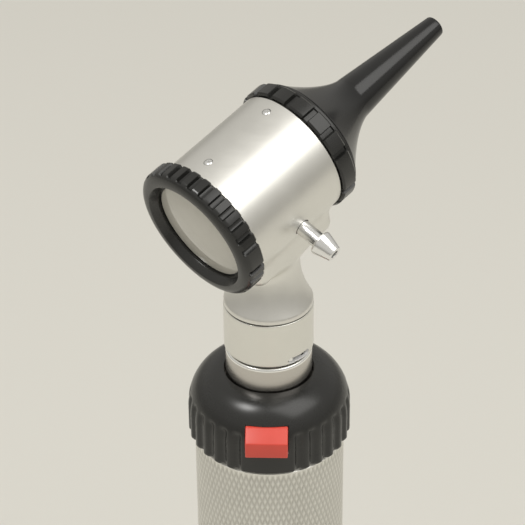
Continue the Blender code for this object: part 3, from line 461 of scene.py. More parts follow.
def settled(piece, place=UPRIGHT, sharp=32):
    """Faces outwards, the place in the mesh, and smooth but for edges sharper than the angle."""
    shape = bmesh.new()
    shape.from_mesh(piece.data)
    bmesh.ops.recalc_face_normals(shape, faces=shape.faces)
    shape.to_mesh(piece.data)
    shape.free()
    piece.data.transform(place)
    piece.data.shade_smooth()
    piece.data.set_sharp_from_angle(angle=math.radians(sharp))
    return piece


def cut(piece, cutter, operation="DIFFERENCE"):
    """Cuts the cutter away with the exact solver, and removes it."""
    step = piece.modifiers.new("cut", "BOOLEAN")
    step.operation = operation
    step.solver = "EXACT"
    step.object = cutter
    plain(piece)
    bpy.data.objects.remove(cutter)
    return piece


def given(piece, body, slot, *nodes):
    """Rides on the body and stands for the frame's nodes; the slot is not used."""
    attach(piece, body)
    if nodes:
        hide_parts(*nodes)
    print(piece.name, len(piece.data.polygons), "faces, rides on", body)
    return piece


# %% [markdown]
# ## The lathe
#
# One tree turns every round piece. It takes the section as loose points, lays a grid whose rows
# are those points and whose columns go round, and moves each grid point to its place. The same
# rule then presses grooves into the outside: a cosine round the piece, shaped by two limits,
# gives scallops, ribs or narrow slots. A second rule raises every other point of the lattice,
# and that is a diamond knurl.

# %% The turning tree
SAME_POINT = 0.0005 * MM  # closer than this, two points are one


def turning_tree():
    tree, given_in = new_tree("turning", {
        "Columns": "Int", "Grooves": "Float", "Depth": "Float", "Open From": "Float", "Open To": "Float",
        "Low": "Float", "High": "Float", "Blend": "Float", "Least Radius": "Float",
        "Plain Angle": "Float", "Plain Width": "Float", "Knurl": "Float",
    })
    section = given_in["Geometry"]
    columns = given_in["Columns"]
    count = section.node("GeometryNodeAttributeDomainSize", {"component": "MESH"}, {0: section})
    grid = section.node("GeometryNodeMeshGrid", None, {
        "Size X": columns, "Size Y": count, "Vertices X": columns + 1, "Vertices Y": count + 1,
    })
    x, y, _ = section.node("GeometryNodeInputPosition").parts()
    column = (x + columns / 2).math("ROUND")
    row = (y + count / 2).math("ROUND")
    spot = section.node("GeometryNodeInputPosition")
    wrapped = row.math("MODULO", count)
    drawn = section.node("GeometryNodeSampleIndex", {"data_type": "FLOAT_VECTOR", "domain": "POINT"},
                         {"Geometry": section, "Value": spot, "Index": wrapped})
    radius, _, height = drawn.parts()
    angle = column * math.tau / columns
    open_share = (angle * given_in["Grooves"]).math("COSINE")
    open_share = open_share.smooth(given_in["Open From"], given_in["Open To"])
    rising = height.smooth(given_in["Low"], given_in["Low"] + given_in["Blend"])
    falling = 1 - height.smooth(given_in["High"] - given_in["Blend"], given_in["High"])
    outside = radius > given_in["Least Radius"]
    facing = (angle - given_in["Plain Angle"]).math("COSINE")
    edge = given_in["Plain Width"].math("COSINE")
    grooved = 1 - facing.smooth(edge - 0.02, edge)
    groove = open_share * rising * falling * outside * grooved * given_in["Depth"]
    low_row = (height > given_in["Low"]) * (height < given_in["High"]) * outside
    valley = (column + row).math("FLOORED_MODULO", 2.0) * low_row * given_in["Knurl"]
    reach = (radius - groove - valley).math("MAXIMUM", 0.0)
    moved = section.node("ShaderNodeCombineXYZ", None, {
        0: reach * angle.math("COSINE"), 1: reach * angle.math("SINE"), 2: height,
    })
    parity = (x + columns / 2).math("FLOOR") + (y + count / 2).math("FLOOR")
    even = parity.math("FLOORED_MODULO", 2.0) < 0.5
    knurled = given_in["Knurl"] > 0.0
    for method, chosen in (("FIXED", 1 - even), ("FIXED_ALTERNATE", even)):
        grid = grid.node("GeometryNodeTriangulate", {"quad_method": method},
                         {"Mesh": grid, "Selection": chosen * knurled})
    turned_grid = grid.node("GeometryNodeSetPosition", None, {"Geometry": grid, "Position": moved})
    closed = grid.node("GeometryNodeMergeByDistance", None,
                       {"Geometry": turned_grid, "Distance": SAME_POINT})
    close_tree(closed, given_in["Material"])
    return tree


TURNING = turning_tree()
print("turning tree:", len(TURNING.nodes), "nodes")

# %% [markdown]
# Real corners are never knife edges: a tool leaves a small radius, and that radius is what
# catches the light. A section here is a list of corners, each with a fillet, and the helper
# puts an arc in its place.

# %% Sections with rounded corners
def filleted(corners, steps=5):
    """A closed section from (radius, height) points and (radius, height, fillet) corners."""
    points = []
    for number, (radius, height, *fillet) in enumerate(corners):
        if not fillet:
            points.append((radius, height))
            continue
        here = Vector((radius, height))
        before = Vector(corners[number - 1][:2]) - here
        after = Vector(corners[(number + 1) % len(corners)][:2]) - here
        half = before.angle(after) / 2
        back = min(fillet[0] / math.tan(half), 0.48 * before.length, 0.48 * after.length)
        start = here + before.normalized() * back
        end = here + after.normalized() * back
        for step in range(steps + 1):
            share = step / steps
            inner = start.lerp(here, share)
            outer = here.lerp(end, share)
            points.append(tuple(inner.lerp(outer, share)))
    return points


def turned(name, section, material, columns=128, place=UPRIGHT, sharp=32, **relief):
    """A closed turned piece; relief names inputs of the turning tree."""
    mesh = bpy.data.meshes.new(name)
    mesh.from_pydata([(radius, 0, height) for radius, height in section], [], [])
    values = {
        "Columns": columns, "Grooves": 0.0, "Depth": 0.0, "Open From": -1.0, "Open To": 1.0,
        "Low": 0.0, "High": 1.0, "Blend": 0.1 * MM, "Least Radius": 0.0,
        "Plain Angle": 0.0, "Plain Width": 0.0, "Knurl": 0.0, "Material": material,
    }
    for key, value in relief.items():
        values[key.replace("_", " ")] = value
    return settled(grown(name, TURNING, values, mesh), place, sharp)


print("lathe ready")

# %% [markdown]
# ## The camera, the floor and the light
#
# The instrument is seen from above and from its right front, with a long lens close to it. The
# floor is a plain pale sheet. The light is a large soft box high on the right, which lays the
# broad white band on the barrel, and a smaller one on the left for the collar's dome.

# %% Camera
CAMERA_ELEVATION = math.radians(34.381)
CAMERA_AZIMUTH = math.radians(46.576)
CAMERA_ROLL = math.radians(-0.576)
CAMERA_PLACE = Vector((266.40, -253.56, 413.96)) * MM
camera_data = bpy.data.cameras.new("camera")
camera_data.sensor_width = 36.0
camera_data.lens = 164.57
camera_data.clip_start = 0.01
camera = bpy.data.objects.new("camera", camera_data)
bpy.context.scene.collection.objects.link(camera)
bpy.context.scene.camera = camera
camera_back = Vector((
    math.sin(CAMERA_AZIMUTH) * math.cos(CAMERA_ELEVATION),
    -math.cos(CAMERA_AZIMUTH) * math.cos(CAMERA_ELEVATION),
    math.sin(CAMERA_ELEVATION),
))
look = (-camera_back).to_track_quat("-Z", "Y").to_matrix().to_4x4()
camera.matrix_world = Matrix.Translation(CAMERA_PLACE) @ look @ Matrix.Rotation(CAMERA_ROLL, 4, "Z")
bpy.context.scene.view_settings.view_transform = "Standard"
print("camera", round(camera_data.lens, 1), "mm")

# %% Floor and light
FLOOR_SIZE = 1.6


def floor_finish():
    """A plain pale sheet, with only the paper's own unevenness."""
    made, shader, place = surface("pale_floor", (0.68, 0.667, 0.62), 0.9)
    feed(shader, "Base Color", mixed((0.67, 0.657, 0.61), (0.69, 0.677, 0.63), noise(place, 3.0, 2.0)))
    return made


bpy.ops.mesh.primitive_plane_add(size=FLOOR_SIZE)
floor = bpy.context.object
floor.name = "floor"
floor.data.materials.append(floor_finish())
floor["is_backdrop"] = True


def soft_box(name, azimuth, elevation, distance, size, power, colour):
    """A square light that looks at the head, from an azimuth measured from -Y towards +X."""
    data = bpy.data.lights.new(name, "AREA")
    data.shape = "SQUARE"
    data.size = size
    data.energy = power
    data.color = colour
    lamp = bpy.data.objects.new(name, data)
    turn, rise = math.radians(azimuth), math.radians(elevation)
    toward = Vector((math.sin(turn) * math.cos(rise), -math.cos(turn) * math.cos(rise), math.sin(rise)))
    lamp.location = Vector((0, 0, BARREL)) + toward * distance
    lamp.rotation_mode = "QUATERNION"
    lamp.rotation_quaternion = (-toward).to_track_quat("-Z", "Y")
    bpy.context.scene.collection.objects.link(lamp)


soft_box("key_light", 109, 57, 1.0, 0.80, 4.2, (1.0, 0.99, 0.96))
soft_box("fill_light", -14, 62, 1.0, 0.24, 3.6, (1.0, 0.99, 0.97))
world = bpy.data.worlds.new("studio")
world.use_nodes = True
room = world.node_tree.nodes["Background"]
direction = Flow(world.node_tree).node("ShaderNodeTexCoord", out="Generated")
rise = direction.parts()[2].smooth(-0.1, 0.35)
feed(room, "Color", mixed((0.55, 0.53, 0.48), (1.0, 0.975, 0.915), rise))
room.inputs["Strength"].default_value = 0.60
bpy.context.scene.world = world
print("floor and two soft boxes")

# %% [markdown]
# ## The knurled handle and its cap
#
# The tube is thin aluminium with a diamond knurl from end to end, pressed by two crossed wheels.
# The lattice is steep: a diamond is about 1 mm round the tube and 3 mm up it. Here the knurl
# is real geometry. Rows of the section are half a diamond apart, columns too, and every other
# lattice point sinks. The cap carries the same knurl, a seal and a wound spring.

# %% Knurled rows
DIAMOND_WIDTH = 1.05 * MM
DIAMOND_HEIGHT = 2.9 * MM
DIAMONDS = round(math.tau * HANDLE_RADIUS / DIAMOND_WIDTH)
HANDLE_BORE = HANDLE_RADIUS - 1.2 * MM


def knurled_rows(low, high):
    """Section points half a diamond apart up the grip."""
    rows = 2 * round((high - low) / DIAMOND_HEIGHT)
    return [(HANDLE_RADIUS, low + (high - low) * row / rows) for row in range(rows + 1)]


def knurled_piece(name, before, low, high, after):
    """A turned piece whose outer wall is knurled between two heights."""
    section = filleted(before + knurled_rows(low, high) + after, 3)
    return turned(name, section, KNURLED, 2 * DIAMONDS, sharp=14, Low=low - GAP / 4, High=high + GAP / 4,
                  Least_Radius=HANDLE_RADIUS - KNURL_DEPTH, Knurl=KNURL_DEPTH)


EDGE = 0.45 * MM
tube_start = [
    (HANDLE_BORE, TUBE_BOTTOM, 0.1 * MM),
    (HANDLE_RADIUS - EDGE, TUBE_BOTTOM, 0.1 * MM),
    (HANDLE_RADIUS, TUBE_BOTTOM + EDGE),
]
tube_end = [
    (HANDLE_RADIUS, TUBE_TOP - EDGE),
    (HANDLE_RADIUS - EDGE, TUBE_TOP, 0.1 * MM),
    (HANDLE_BORE, TUBE_TOP, 0.1 * MM),
]
grip_tube = knurled_piece("grip_tube", tube_start, TUBE_BOTTOM + 1.4 * MM, TUBE_TOP - 1.4 * MM, tube_end)
given(grip_tube, "handle", "knurled_aluminium", "handle_tube")

# %% The end cap
CAP_TOP = TUBE_BOTTOM - GAP
SPIGOT_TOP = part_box("end_cap")[1].z
SPIGOT_RADIUS = HANDLE_BORE - GAP
CAP_BORE = SPIGOT_RADIUS - 2.2 * MM
CAP_FLOOR = 2.6 * MM
SEAL_WIRE = 0.6 * MM
seal_height = TUBE_BOTTOM + 2 * SEAL_WIRE
groove_foot = SPIGOT_RADIUS - 2 * SEAL_WIRE - 0.1 * MM
cap_start = [
    (0, 0),
    (HANDLE_RADIUS - 1.0 * MM, 0, 0.4 * MM),
    (HANDLE_RADIUS, 1.0 * MM, 0.3 * MM),
]
cap_end = [
    (HANDLE_RADIUS, CAP_TOP - EDGE),
    (HANDLE_RADIUS - EDGE, CAP_TOP, 0.1 * MM),
    (SPIGOT_RADIUS, CAP_TOP, 0.1 * MM),
    (SPIGOT_RADIUS, seal_height - SEAL_WIRE - 0.1 * MM, 0.1 * MM),
    (groove_foot, seal_height - SEAL_WIRE - 0.1 * MM, 0.1 * MM),
    (groove_foot, seal_height + SEAL_WIRE + 0.1 * MM, 0.1 * MM),
    (SPIGOT_RADIUS, seal_height + SEAL_WIRE + 0.1 * MM, 0.1 * MM),
    (SPIGOT_RADIUS, SPIGOT_TOP, 0.3 * MM),
    (CAP_BORE, SPIGOT_TOP, 0.2 * MM),
    (CAP_BORE, CAP_FLOOR, 0.5 * MM),
    (0, CAP_FLOOR),
]
end_cap = knurled_piece("knurled_cap", cap_start, 1.7 * MM, CAP_TOP - 1.0 * MM, cap_end)
given(end_cap, "cap", "knurled_aluminium", "end_cap")


def ring_section(centre_radius, centre_height, wire_radius, points=16):
    """The round section of an O-ring."""
    turn = math.tau / points
    return [(centre_radius + wire_radius * math.cos(turn * step),
             centre_height + wire_radius * math.sin(turn * step)) for step in range(points)]


o_ring_section = ring_section(groove_foot + 0.1 * MM + SEAL_WIRE, seal_height, SEAL_WIRE)
o_ring = turned("cap_o_ring", o_ring_section, RUBBER)
given(o_ring, "cap", "rubber", "cap_seal")

# %% [markdown]
# ## Springs
#
# A spring is a wire swept along a spiral. Three of them hide in this instrument: under the
# cells, behind the button and under the centre contact. One tree makes them all. The spiral
# starts at the origin, so each is placed afterwards.

# %% The spring tree
def spring_tree():
    tree, given_in = new_tree("spring", {
        "Turns": "Float", "Low Radius": "Float", "High Radius": "Float", "Height": "Float", "Wire": "Float",
    })
    start = given_in["Geometry"]
    spiral = start.node("GeometryNodeCurveSpiral", None, {
        "Resolution": 40, "Rotations": given_in["Turns"], "Start Radius": given_in["Low Radius"],
        "End Radius": given_in["High Radius"], "Height": given_in["Height"],
    })
    round_wire = start.node("GeometryNodeCurvePrimitiveCircle", None, {
        "Resolution": 12, "Radius": given_in["Wire"],
    })
    swept = start.node("GeometryNodeCurveToMesh", None, {
        "Curve": spiral, "Profile Curve": round_wire, "Fill Caps": True,
    })
    close_tree(swept, given_in["Material"])
    return tree


SPRING = spring_tree()


def spring(name, turns, low_radius, high_radius, height, wire_radius, place):
    values = {"Turns": turns, "Low Radius": low_radius, "High Radius": high_radius, "Height": height,
              "Wire": wire_radius, "Material": STEEL}
    return settled(grown(name, SPRING, values), place, 60)


WIRE = 0.5 * MM
low, high = (corner.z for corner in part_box("battery_spring"))
cell_spring = spring("cell_spring", 4.0, CAP_BORE - GAP - WIRE, 0.55 * CAP_BORE,
                     high - low - 2 * WIRE, WIRE, Matrix.Translation((0, 0, low + WIRE)))
given(cell_spring, "cap", "spring_steel", "battery_spring")
FINE_WIRE = 0.22 * MM
low, high = (corner.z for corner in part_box("plunger_spring"))
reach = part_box("plunger_spring")[1].x - FINE_WIRE
plunger_slide = next(joint for joint in frame["joints"] if joint["name"] == "plunger_press")
pressed = high - low - plunger_slide["range_m"][1]  # the coil is drawn as short as it gets
plunger_coil = spring("plunger_coil", 4.0, reach, reach, pressed - 2.2 * FINE_WIRE, FINE_WIRE,
                      Matrix.Translation((0, 0, low + FINE_WIRE)))
given(plunger_coil, "handle", "spring_steel", "plunger_spring")

# %% [markdown]
# ## The cells
#
# Two C cells fill the tube. Each is a steel can in a printed jacket, with a rolled edge at both
# ends and a nub on top. They are only seen when the cap is off.

# %% Two cells
def cell(name, node):
    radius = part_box(node)[1].x
    foot, top = (corner.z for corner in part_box(node))
    shoulder = top - 1.6 * MM
    nub = 3.2 * MM
    section = filleted([
        (0, foot + 0.25 * MM),
        (radius - 2.0 * MM, foot + 0.25 * MM, 0.1 * MM),
        (radius - 1.8 * MM, foot, 0.1 * MM),
        (radius, foot, 0.6 * MM),
        (radius, shoulder, 0.6 * MM),
        (radius - 1.8 * MM, shoulder, 0.1 * MM),
        (radius - 2.0 * MM, shoulder - 0.3 * MM, 0.1 * MM),
        (nub + 0.4 * MM, shoulder - 0.3 * MM, 0.2 * MM),
        (nub, shoulder, 0.2 * MM),
        (nub, top, 0.4 * MM),
        (0, top),
    ], 4)
    given(turned(name, section, JACKET, 96), "handle", "cell_jacket", node)


cell("lower_c_cell", "cell_lower")
cell("upper_c_cell", "cell_upper")

# %% [markdown]
# ## The brightness collar
#
# The collar is one black moulding: a fluted skirt, a dome that curves in on an elliptical arc,
# and a round hole for the coupling ring. The flutes are scallops, 32 of them, that fade out at
# the top. A window is cut for the lock button.

# %% The fluted collar
COLLAR_WALL = 2.6 * MM
FLUTES = 32
FLUTE_HEIGHT = 8.3 * MM
DOME_START = 5.7 * MM
RING_RADIUS = SLEEVE_RADIUS - 0.27 * MM
RUNNING = 0.35 * MM
CROWN_RADIUS = RING_RADIUS + 0.6 * MM
NECK_RADIUS = RING_RADIUS + 1.15 * MM
button_slide = next(joint for joint in frame["joints"] if joint["name"] == "button_press")
BUTTON_OUT = -Vector(button_slide["axis"])
BUTTON_TURN = math.atan2(BUTTON_OUT.y, BUTTON_OUT.x)


def collar_section():
    inner = COLLAR_RADIUS - COLLAR_WALL
    hole = RING_RADIUS + RUNNING
    ceiling = COLLAR_TOP - 3.2 * MM + GAP + 0.8 * MM + RUNNING
    dome = COLLAR + DOME_START
    across, rise = COLLAR_RADIUS - CROWN_RADIUS, COLLAR_TOP - dome
    skirt = COLLAR + 0.5 * MM
    wall = [(COLLAR_RADIUS, skirt + (dome - skirt) * step / 10) for step in range(11)]
    crown = [(CROWN_RADIUS + across * math.cos(math.pi / 2 * step / 40),
              dome + rise * math.sin(math.pi / 2 * step / 40)) for step in range(1, 41)]
    low = [(inner, COLLAR, 0.1 * MM), (COLLAR_RADIUS - 0.4 * MM, COLLAR, 0.15 * MM)]
    top = [(hole, COLLAR_TOP, 0.3 * MM), (hole, ceiling, 0.1 * MM),
           (NECK_RADIUS + 2 * RUNNING, ceiling, 0.1 * MM),
           (inner, COLLAR + FLUTE_HEIGHT + 0.8 * MM, 0.4 * MM)]
    return filleted(low + wall + crown + top, 4)


def box_mesh(name, low, high, place):
    """A box between two corners, placed, to cut with."""
    mesh = bpy.data.meshes.new(name)
    shape = bmesh.new()
    bmesh.ops.create_cube(shape, size=1.0)
    size = Vector(high) - Vector(low)
    middle = (Vector(high) + Vector(low)) / 2
    shape.transform(place @ Matrix.Translation(middle) @ Matrix.Diagonal((*size, 1)))
    shape.to_mesh(mesh)
    shape.free()
    return linked(name, mesh)


collar = turned("fluted_collar", collar_section(), BLACK, 12 * FLUTES,
                Grooves=float(FLUTES), Depth=0.6 * MM, Open_From=-0.9, Open_To=1.0,
                Low=COLLAR - 2 * MM, High=COLLAR + FLUTE_HEIGHT + 0.9 * MM,
                Blend=1.3 * MM, Least_Radius=COLLAR_RADIUS - 1.5 * MM,
                Plain_Angle=BUTTON_TURN, Plain_Width=0.27)
BUTTON_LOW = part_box("lock_button")[0].z
BUTTON_WIDTH = 8.0 * MM
BUTTON_BROW = BUTTON_LOW + 5.35 * MM  # where its slope meets the dome
SNUG = 0.15 * MM
button_place = Matrix.Rotation(BUTTON_TURN, 4, "Z")
window = box_mesh(
    "button_window",
    (COLLAR_RADIUS - COLLAR_WALL - 2 * RUNNING, -BUTTON_WIDTH / 2 - SNUG, BUTTON_LOW - SNUG),
    (COLLAR_RADIUS + 3 * MM, BUTTON_WIDTH / 2 + SNUG, BUTTON_BROW + SNUG),
    button_place,
)
cut(collar, window)
settled(collar)
given(collar, "collar", "black_plastic", "collar_shell")

# %% [markdown]
# ## The lock button
#
# A small red wedge: a sloping top that a thumb slides down, a crest and a front face. It is
# drawn as an outline, extruded across its width, and bevelled all round so its edges shine.

# %% The red wedge
def wedge(name, outline, width, rounding, material, place):
    """An outline of (x, z) points drawn out along Y, with rounded edges."""
    shape = bmesh.new()
    near = [shape.verts.new((x, -width / 2, z)) for x, z in outline]
    face = shape.faces.new(near)
    pulled = bmesh.ops.extrude_face_region(shape, geom=[face])
    moved = [item for item in pulled["geom"] if isinstance(item, bmesh.types.BMVert)]
    bmesh.ops.translate(shape, verts=moved, vec=(0, width, 0))
    bmesh.ops.recalc_face_normals(shape, faces=shape.faces)
    bmesh.ops.bevel(shape, geom=list(shape.edges), offset=rounding, segments=4, profile=0.5, affect="EDGES")
    mesh = bpy.data.meshes.new(name)
    shape.to_mesh(mesh)
    shape.free()
    mesh.materials.append(material)
    return settled(linked(name, mesh), place, 40)




def along_slide(node):
    """How far a node reaches along the button's slide, from the handle's axis."""
    back = button_place.inverted()
    reaches = [(back @ corner.co).x for corner in frame["nodes"][node].data.vertices]
    return min(reaches), max(reaches)


button_back, button_crest = along_slide("lock_button")
CREST_HEIGHT = 3.5 * MM
crest = BUTTON_LOW + CREST_HEIGHT
button = wedge("lock_wedge", [
    (button_back, BUTTON_LOW),
    (button_crest - 0.3 * MM, BUTTON_LOW),
    (button_crest, crest),
    (button_back + 0.6 * MM, BUTTON_BROW),
    (button_back, BUTTON_BROW),
], BUTTON_WIDTH, 0.22 * MM, RED, button_place)
given(button, "button", "red_plastic", "lock_button")
coil_start, coil_end = along_slide("button_spring")
THIN_WIRE, COIL_RADIUS = 0.2 * MM, 1.4 * MM
coil_seat = Matrix.Translation((coil_start + THIN_WIRE, 0, (BUTTON_LOW + BUTTON_BROW) / 2))
button_coil = spring("button_coil", 2.0, COIL_RADIUS, COIL_RADIUS, coil_end - coil_start - 2 * THIN_WIRE,
                     THIN_WIRE, button_place @ coil_seat @ Matrix.Rotation(math.pi / 2, 4, "Y"))
given(button_coil, "collar", "spring_steel", "button_spring")

# %% [markdown]
# ## The coupling ring and the sleeve
#
# Under the head sits a bright ring with a bored stub and two pins. The head's sleeve drops over
# the stub, the pins enter two notches, and a twist slides them along two slots. The slots and
# the notches are cut from the sleeve with the exact solver.

# %% The bright ring
TAIL_BOTTOM, STUB_TOP = (corner.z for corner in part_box("coupling_ring"))
RING_TOP = SLEEVE - GAP
RING_BOTTOM = COLLAR_TOP - 3.2 * MM + GAP
TAIL_RADIUS = 5.2 * MM
CONTACT_BORE = 3.4 * MM
SLEEVE_WALL = 1.25 * MM
STUB_RADIUS = SLEEVE_RADIUS - SLEEVE_WALL - RUNNING
ring_section_points = filleted([
    (CONTACT_BORE, TAIL_BOTTOM, 0.1 * MM),
    (TAIL_RADIUS, TAIL_BOTTOM, 0.2 * MM),
    (TAIL_RADIUS, RING_BOTTOM, 0.1 * MM),
    (NECK_RADIUS, RING_BOTTOM, 0.1 * MM),
    (NECK_RADIUS, RING_BOTTOM + 0.8 * MM, 0.1 * MM),
    (RING_RADIUS, RING_BOTTOM + 0.8 * MM, 0.1 * MM),
    (RING_RADIUS, RING_TOP, 0.55 * MM),
    (STUB_RADIUS, RING_TOP, 0.1 * MM),
    (STUB_RADIUS, STUB_TOP, 0.3 * MM),
    (CONTACT_BORE, STUB_TOP, 0.1 * MM),
])
coupling = turned("coupling_collet", ring_section_points, COUPLING, 128)


def pin_turn():
    """The azimuth of the pin on the +X side."""
    low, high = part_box("bayonet_pin_right")
    return math.atan2((low.y + high.y) / 2, (low.x + high.x) / 2)


PIN_HEIGHT = sum(corner.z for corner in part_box("bayonet_pin_right")) / 2
for side in (0, math.pi):
    facing = Matrix.Rotation(pin_turn() + side, 4, "Z") @ Matrix.Translation((0, 0, PIN_HEIGHT))
    bore_section = [(0, 0), (0.75 * MM, 0), (0.75 * MM, 4 * MM), (0, 4 * MM)]
    start = STUB_RADIUS - 1.6 * MM - GAP
    socket = turned("pin_socket", bore_section, CHROME, 24,
                    facing @ Matrix.Translation((start, 0, 0)) @ Matrix.Rotation(math.pi / 2, 4, "Y"))
    cut(coupling, socket)
settled(coupling)
given(coupling, "handle", "chrome", "coupling_ring")

# %% The sleeve and its slots
SLEEVE_BORE = SLEEVE_RADIUS - SLEEVE_WALL
SLOT_HALF = math.radians(18)
SLOT_LOW = PIN_HEIGHT - 0.6 * MM
SLOT_HIGH = PIN_HEIGHT + 0.6 * MM
HEAD_SPIGOT = 5.0 * MM
spigot_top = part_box("bayonet_sleeve")[1].z
web = STUB_TOP + GAP + 0.6 * MM
SLEEVE_ROWS = 12
first_row, last_row = SLEEVE + 1.0 * MM, SLEEVE_TOP - 0.5 * MM
row_rise = (last_row - first_row) / SLEEVE_ROWS
sleeve_wall = [(SLEEVE_RADIUS, first_row + row_rise * row) for row in range(SLEEVE_ROWS + 1)]
sleeve = turned("socket_sleeve", filleted([
    (SLEEVE_BORE, SLEEVE, 0.1 * MM),
    (SLEEVE_RADIUS - 0.55 * MM, SLEEVE, 0.12 * MM),
    (SLEEVE_RADIUS, SLEEVE + 0.55 * MM, 0.25 * MM),
    *sleeve_wall,
    (SLEEVE_RADIUS, SLEEVE_TOP, 0.22 * MM),
    (HEAD_SPIGOT, SLEEVE_TOP, 0.1 * MM),
    (HEAD_SPIGOT, spigot_top, 0.2 * MM),
    (2.9 * MM, spigot_top, 0.1 * MM),
    (2.9 * MM, web, 0.1 * MM),
    (SLEEVE_BORE, web, 0.2 * MM),
]), SATIN_SLEEVE, 160)


def slot_outline():
    """(angle round the sleeve, height) points of a slot with round ends."""
    middle, half = (SLOT_LOW + SLOT_HIGH) / 2, (SLOT_HIGH - SLOT_LOW) / 2
    straight = SLOT_HALF - half / SLEEVE_RADIUS
    points = []
    for end in (1, -1):
        for step in range(9):
            turn = math.pi / 2 - math.pi * step / 8
            rise = end * half * math.sin(turn)
            points.append((end * (straight + half / SLEEVE_RADIUS * math.cos(turn)), middle + rise))
        level = points[-1][1]
        points += [(end * straight * (1 - step / 6), level) for step in range(1, 12)]
    return points


def slot_cutter(facing):
    """The slot's outline drawn out through the wall, about the handle's axis."""
    outline = slot_outline()
    shape = bmesh.new()
    rings = []
    for radius in (SLEEVE_BORE - 1 * MM, SLEEVE_RADIUS + 1 * MM):
        ring = []
        for across, height in outline:
            turn = facing + across
            ring.append(shape.verts.new((radius * math.cos(turn), radius * math.sin(turn), height)))
        rings.append(ring)
        shape.faces.new(ring)
    near, far = rings
    for number in range(len(outline)):
        after = (number + 1) % len(outline)
        shape.faces.new((near[number], near[after], far[after], far[number]))
    bmesh.ops.recalc_face_normals(shape, faces=shape.faces)
    mesh = bpy.data.meshes.new("slot_cutter")
    shape.to_mesh(mesh)
    shape.free()
    return linked("slot_cutter", mesh)


ENTRY_WIDTH = 1.4 * MM
for side in (0, math.pi):
    cut(sleeve, slot_cutter(side))
    notch = box_mesh("notch", (SLEEVE_BORE - 1 * MM, -ENTRY_WIDTH / 2, SLEEVE - 1 * MM),
                     (SLEEVE_BORE + 0.45 * SLEEVE_WALL, ENTRY_WIDTH / 2, PIN_HEIGHT),
                     Matrix.Rotation(side + SLOT_HALF - ENTRY_WIDTH / 2 / SLEEVE_RADIUS, 4, "Z"))
    cut(sleeve, notch)
settled(sleeve)
given(sleeve, "head", "satin_aluminium", "bayonet_sleeve")

# %% [markdown]
# ## The casting
#
# Barrel, keel and neck are one casting, and a casting has no sharp inner corners: the shapes
# melt into each other. The way to get that is a distance field. Each shape is a formula for how
# far a point lies from its surface, two fields are joined with a soft minimum, and the zero
# level becomes the mesh. Geometry Nodes can do all of it: a Volume Cube holds the field, and
# Volume to Mesh walks over it. The bores and flat ends are then cut crisply.

# %% A distance field for barrel, keel and neck
VOXEL = 0.25 * MM
OVERRUN = 1.5 * MM  # how far the field's barrel runs past its ends, to be cut back
KEEL_HALF_WIDTH, KEEL_DEPTH, KEEL_REAR, KEEL_ROUNDING = 7.8 * MM, 15.4 * MM, 14.2 * MM, 2.4 * MM
WAIST_RADIUS, NECK_SWEEP, FOOT_HEIGHT = 5.9 * MM, 9.4 * MM, 1.1 * MM
FOOT_RADIUS = SLEEVE_RADIUS - 0.07 * MM
barrel_front = on_barrel("front_ring")[0] - GAP


def soft_union(first, second, width):
    """The nearer of two fields, with a fillet of that width where they meet."""
    near = (width - (first - second).math("ABSOLUTE")).math("MAXIMUM", 0.0) / width
    return first.math("MINIMUM", second) - near * near * width * 0.25


def casting_tree():
    tree, given_in = new_tree("casting", {"Low": "Vector", "High": "Vector", "Fillet": "Float"})
    start = given_in["Geometry"]
    x, y, z = start.node("GeometryNodeInputPosition").parts()
    drop = z - BARREL
    along = y * math.cos(TILT) + drop * math.sin(TILT)
    down = y * math.sin(TILT) - drop * math.cos(TILT)
    around = (x * x + down * down).math("SQRT") - BARREL_RADIUS
    middle = (barrel_front + BARREL_REAR) / 2
    half = (barrel_front - BARREL_REAR) / 2 + OVERRUN
    barrel = around.math("MAXIMUM", (along - middle).math("ABSOLUTE") - half)

    inside = []
    for value, low, high in ((x, -KEEL_HALF_WIDTH, KEEL_HALF_WIDTH), (down, 0.0, KEEL_DEPTH),
                             (along, -KEEL_REAR, barrel_front - 0.05 * MM)):
        inside.append((value - (low + high) / 2).math("ABSOLUTE") - ((high - low) / 2 - KEEL_ROUNDING))
    outer = [side.math("MAXIMUM", 0.0) for side in inside]
    length = (outer[0] * outer[0] + outer[1] * outer[1] + outer[2] * outer[2]).math("SQRT")
    deepest = inside[0].math("MAXIMUM", inside[1]).math("MAXIMUM", inside[2]).math("MINIMUM", 0.0)
    keel = length + deepest - KEEL_ROUNDING

    spread = FOOT_RADIUS - WAIST_RADIUS
    sweep = (NECK_SWEEP ** 2 + spread ** 2) / (2 * spread)
    waist = SLEEVE_TOP + FOOT_HEIGHT + NECK_SWEEP
    below = (waist - z).math("MAXIMUM", 0.0).math("MINIMUM", NECK_SWEEP)
    width = WAIST_RADIUS + sweep - (sweep ** 2 - below * below).math("SQRT")
    neck = (x * x + y * y).math("SQRT") - width
    neck = neck.math("MAXIMUM", z - BARREL).math("MAXIMUM", (SLEEVE_TOP - OVERRUN) - z)

    body = soft_union(soft_union(barrel, keel, given_in["Fillet"]), neck, given_in["Fillet"] * 1.6)
    low, high = given_in["Low"], given_in["High"]
    across = high.node("ShaderNodeVectorMath", {"operation": "SUBTRACT"}, {0: high, 1: low})
    counts = [side / VOXEL for side in across.parts()]
    field = start.node("GeometryNodeVolumeCube", None, {
        "Density": body * (-1 / MM), "Background": -1.0, "Min": low, "Max": high,
        "Resolution X": counts[0], "Resolution Y": counts[1], "Resolution Z": counts[2],
    })
    skin = start.node("GeometryNodeVolumeToMesh", {"resolution_mode": "GRID"},
                      {"Volume": field, "Threshold": 0.0})
    close_tree(skin, given_in["Material"])
    return tree


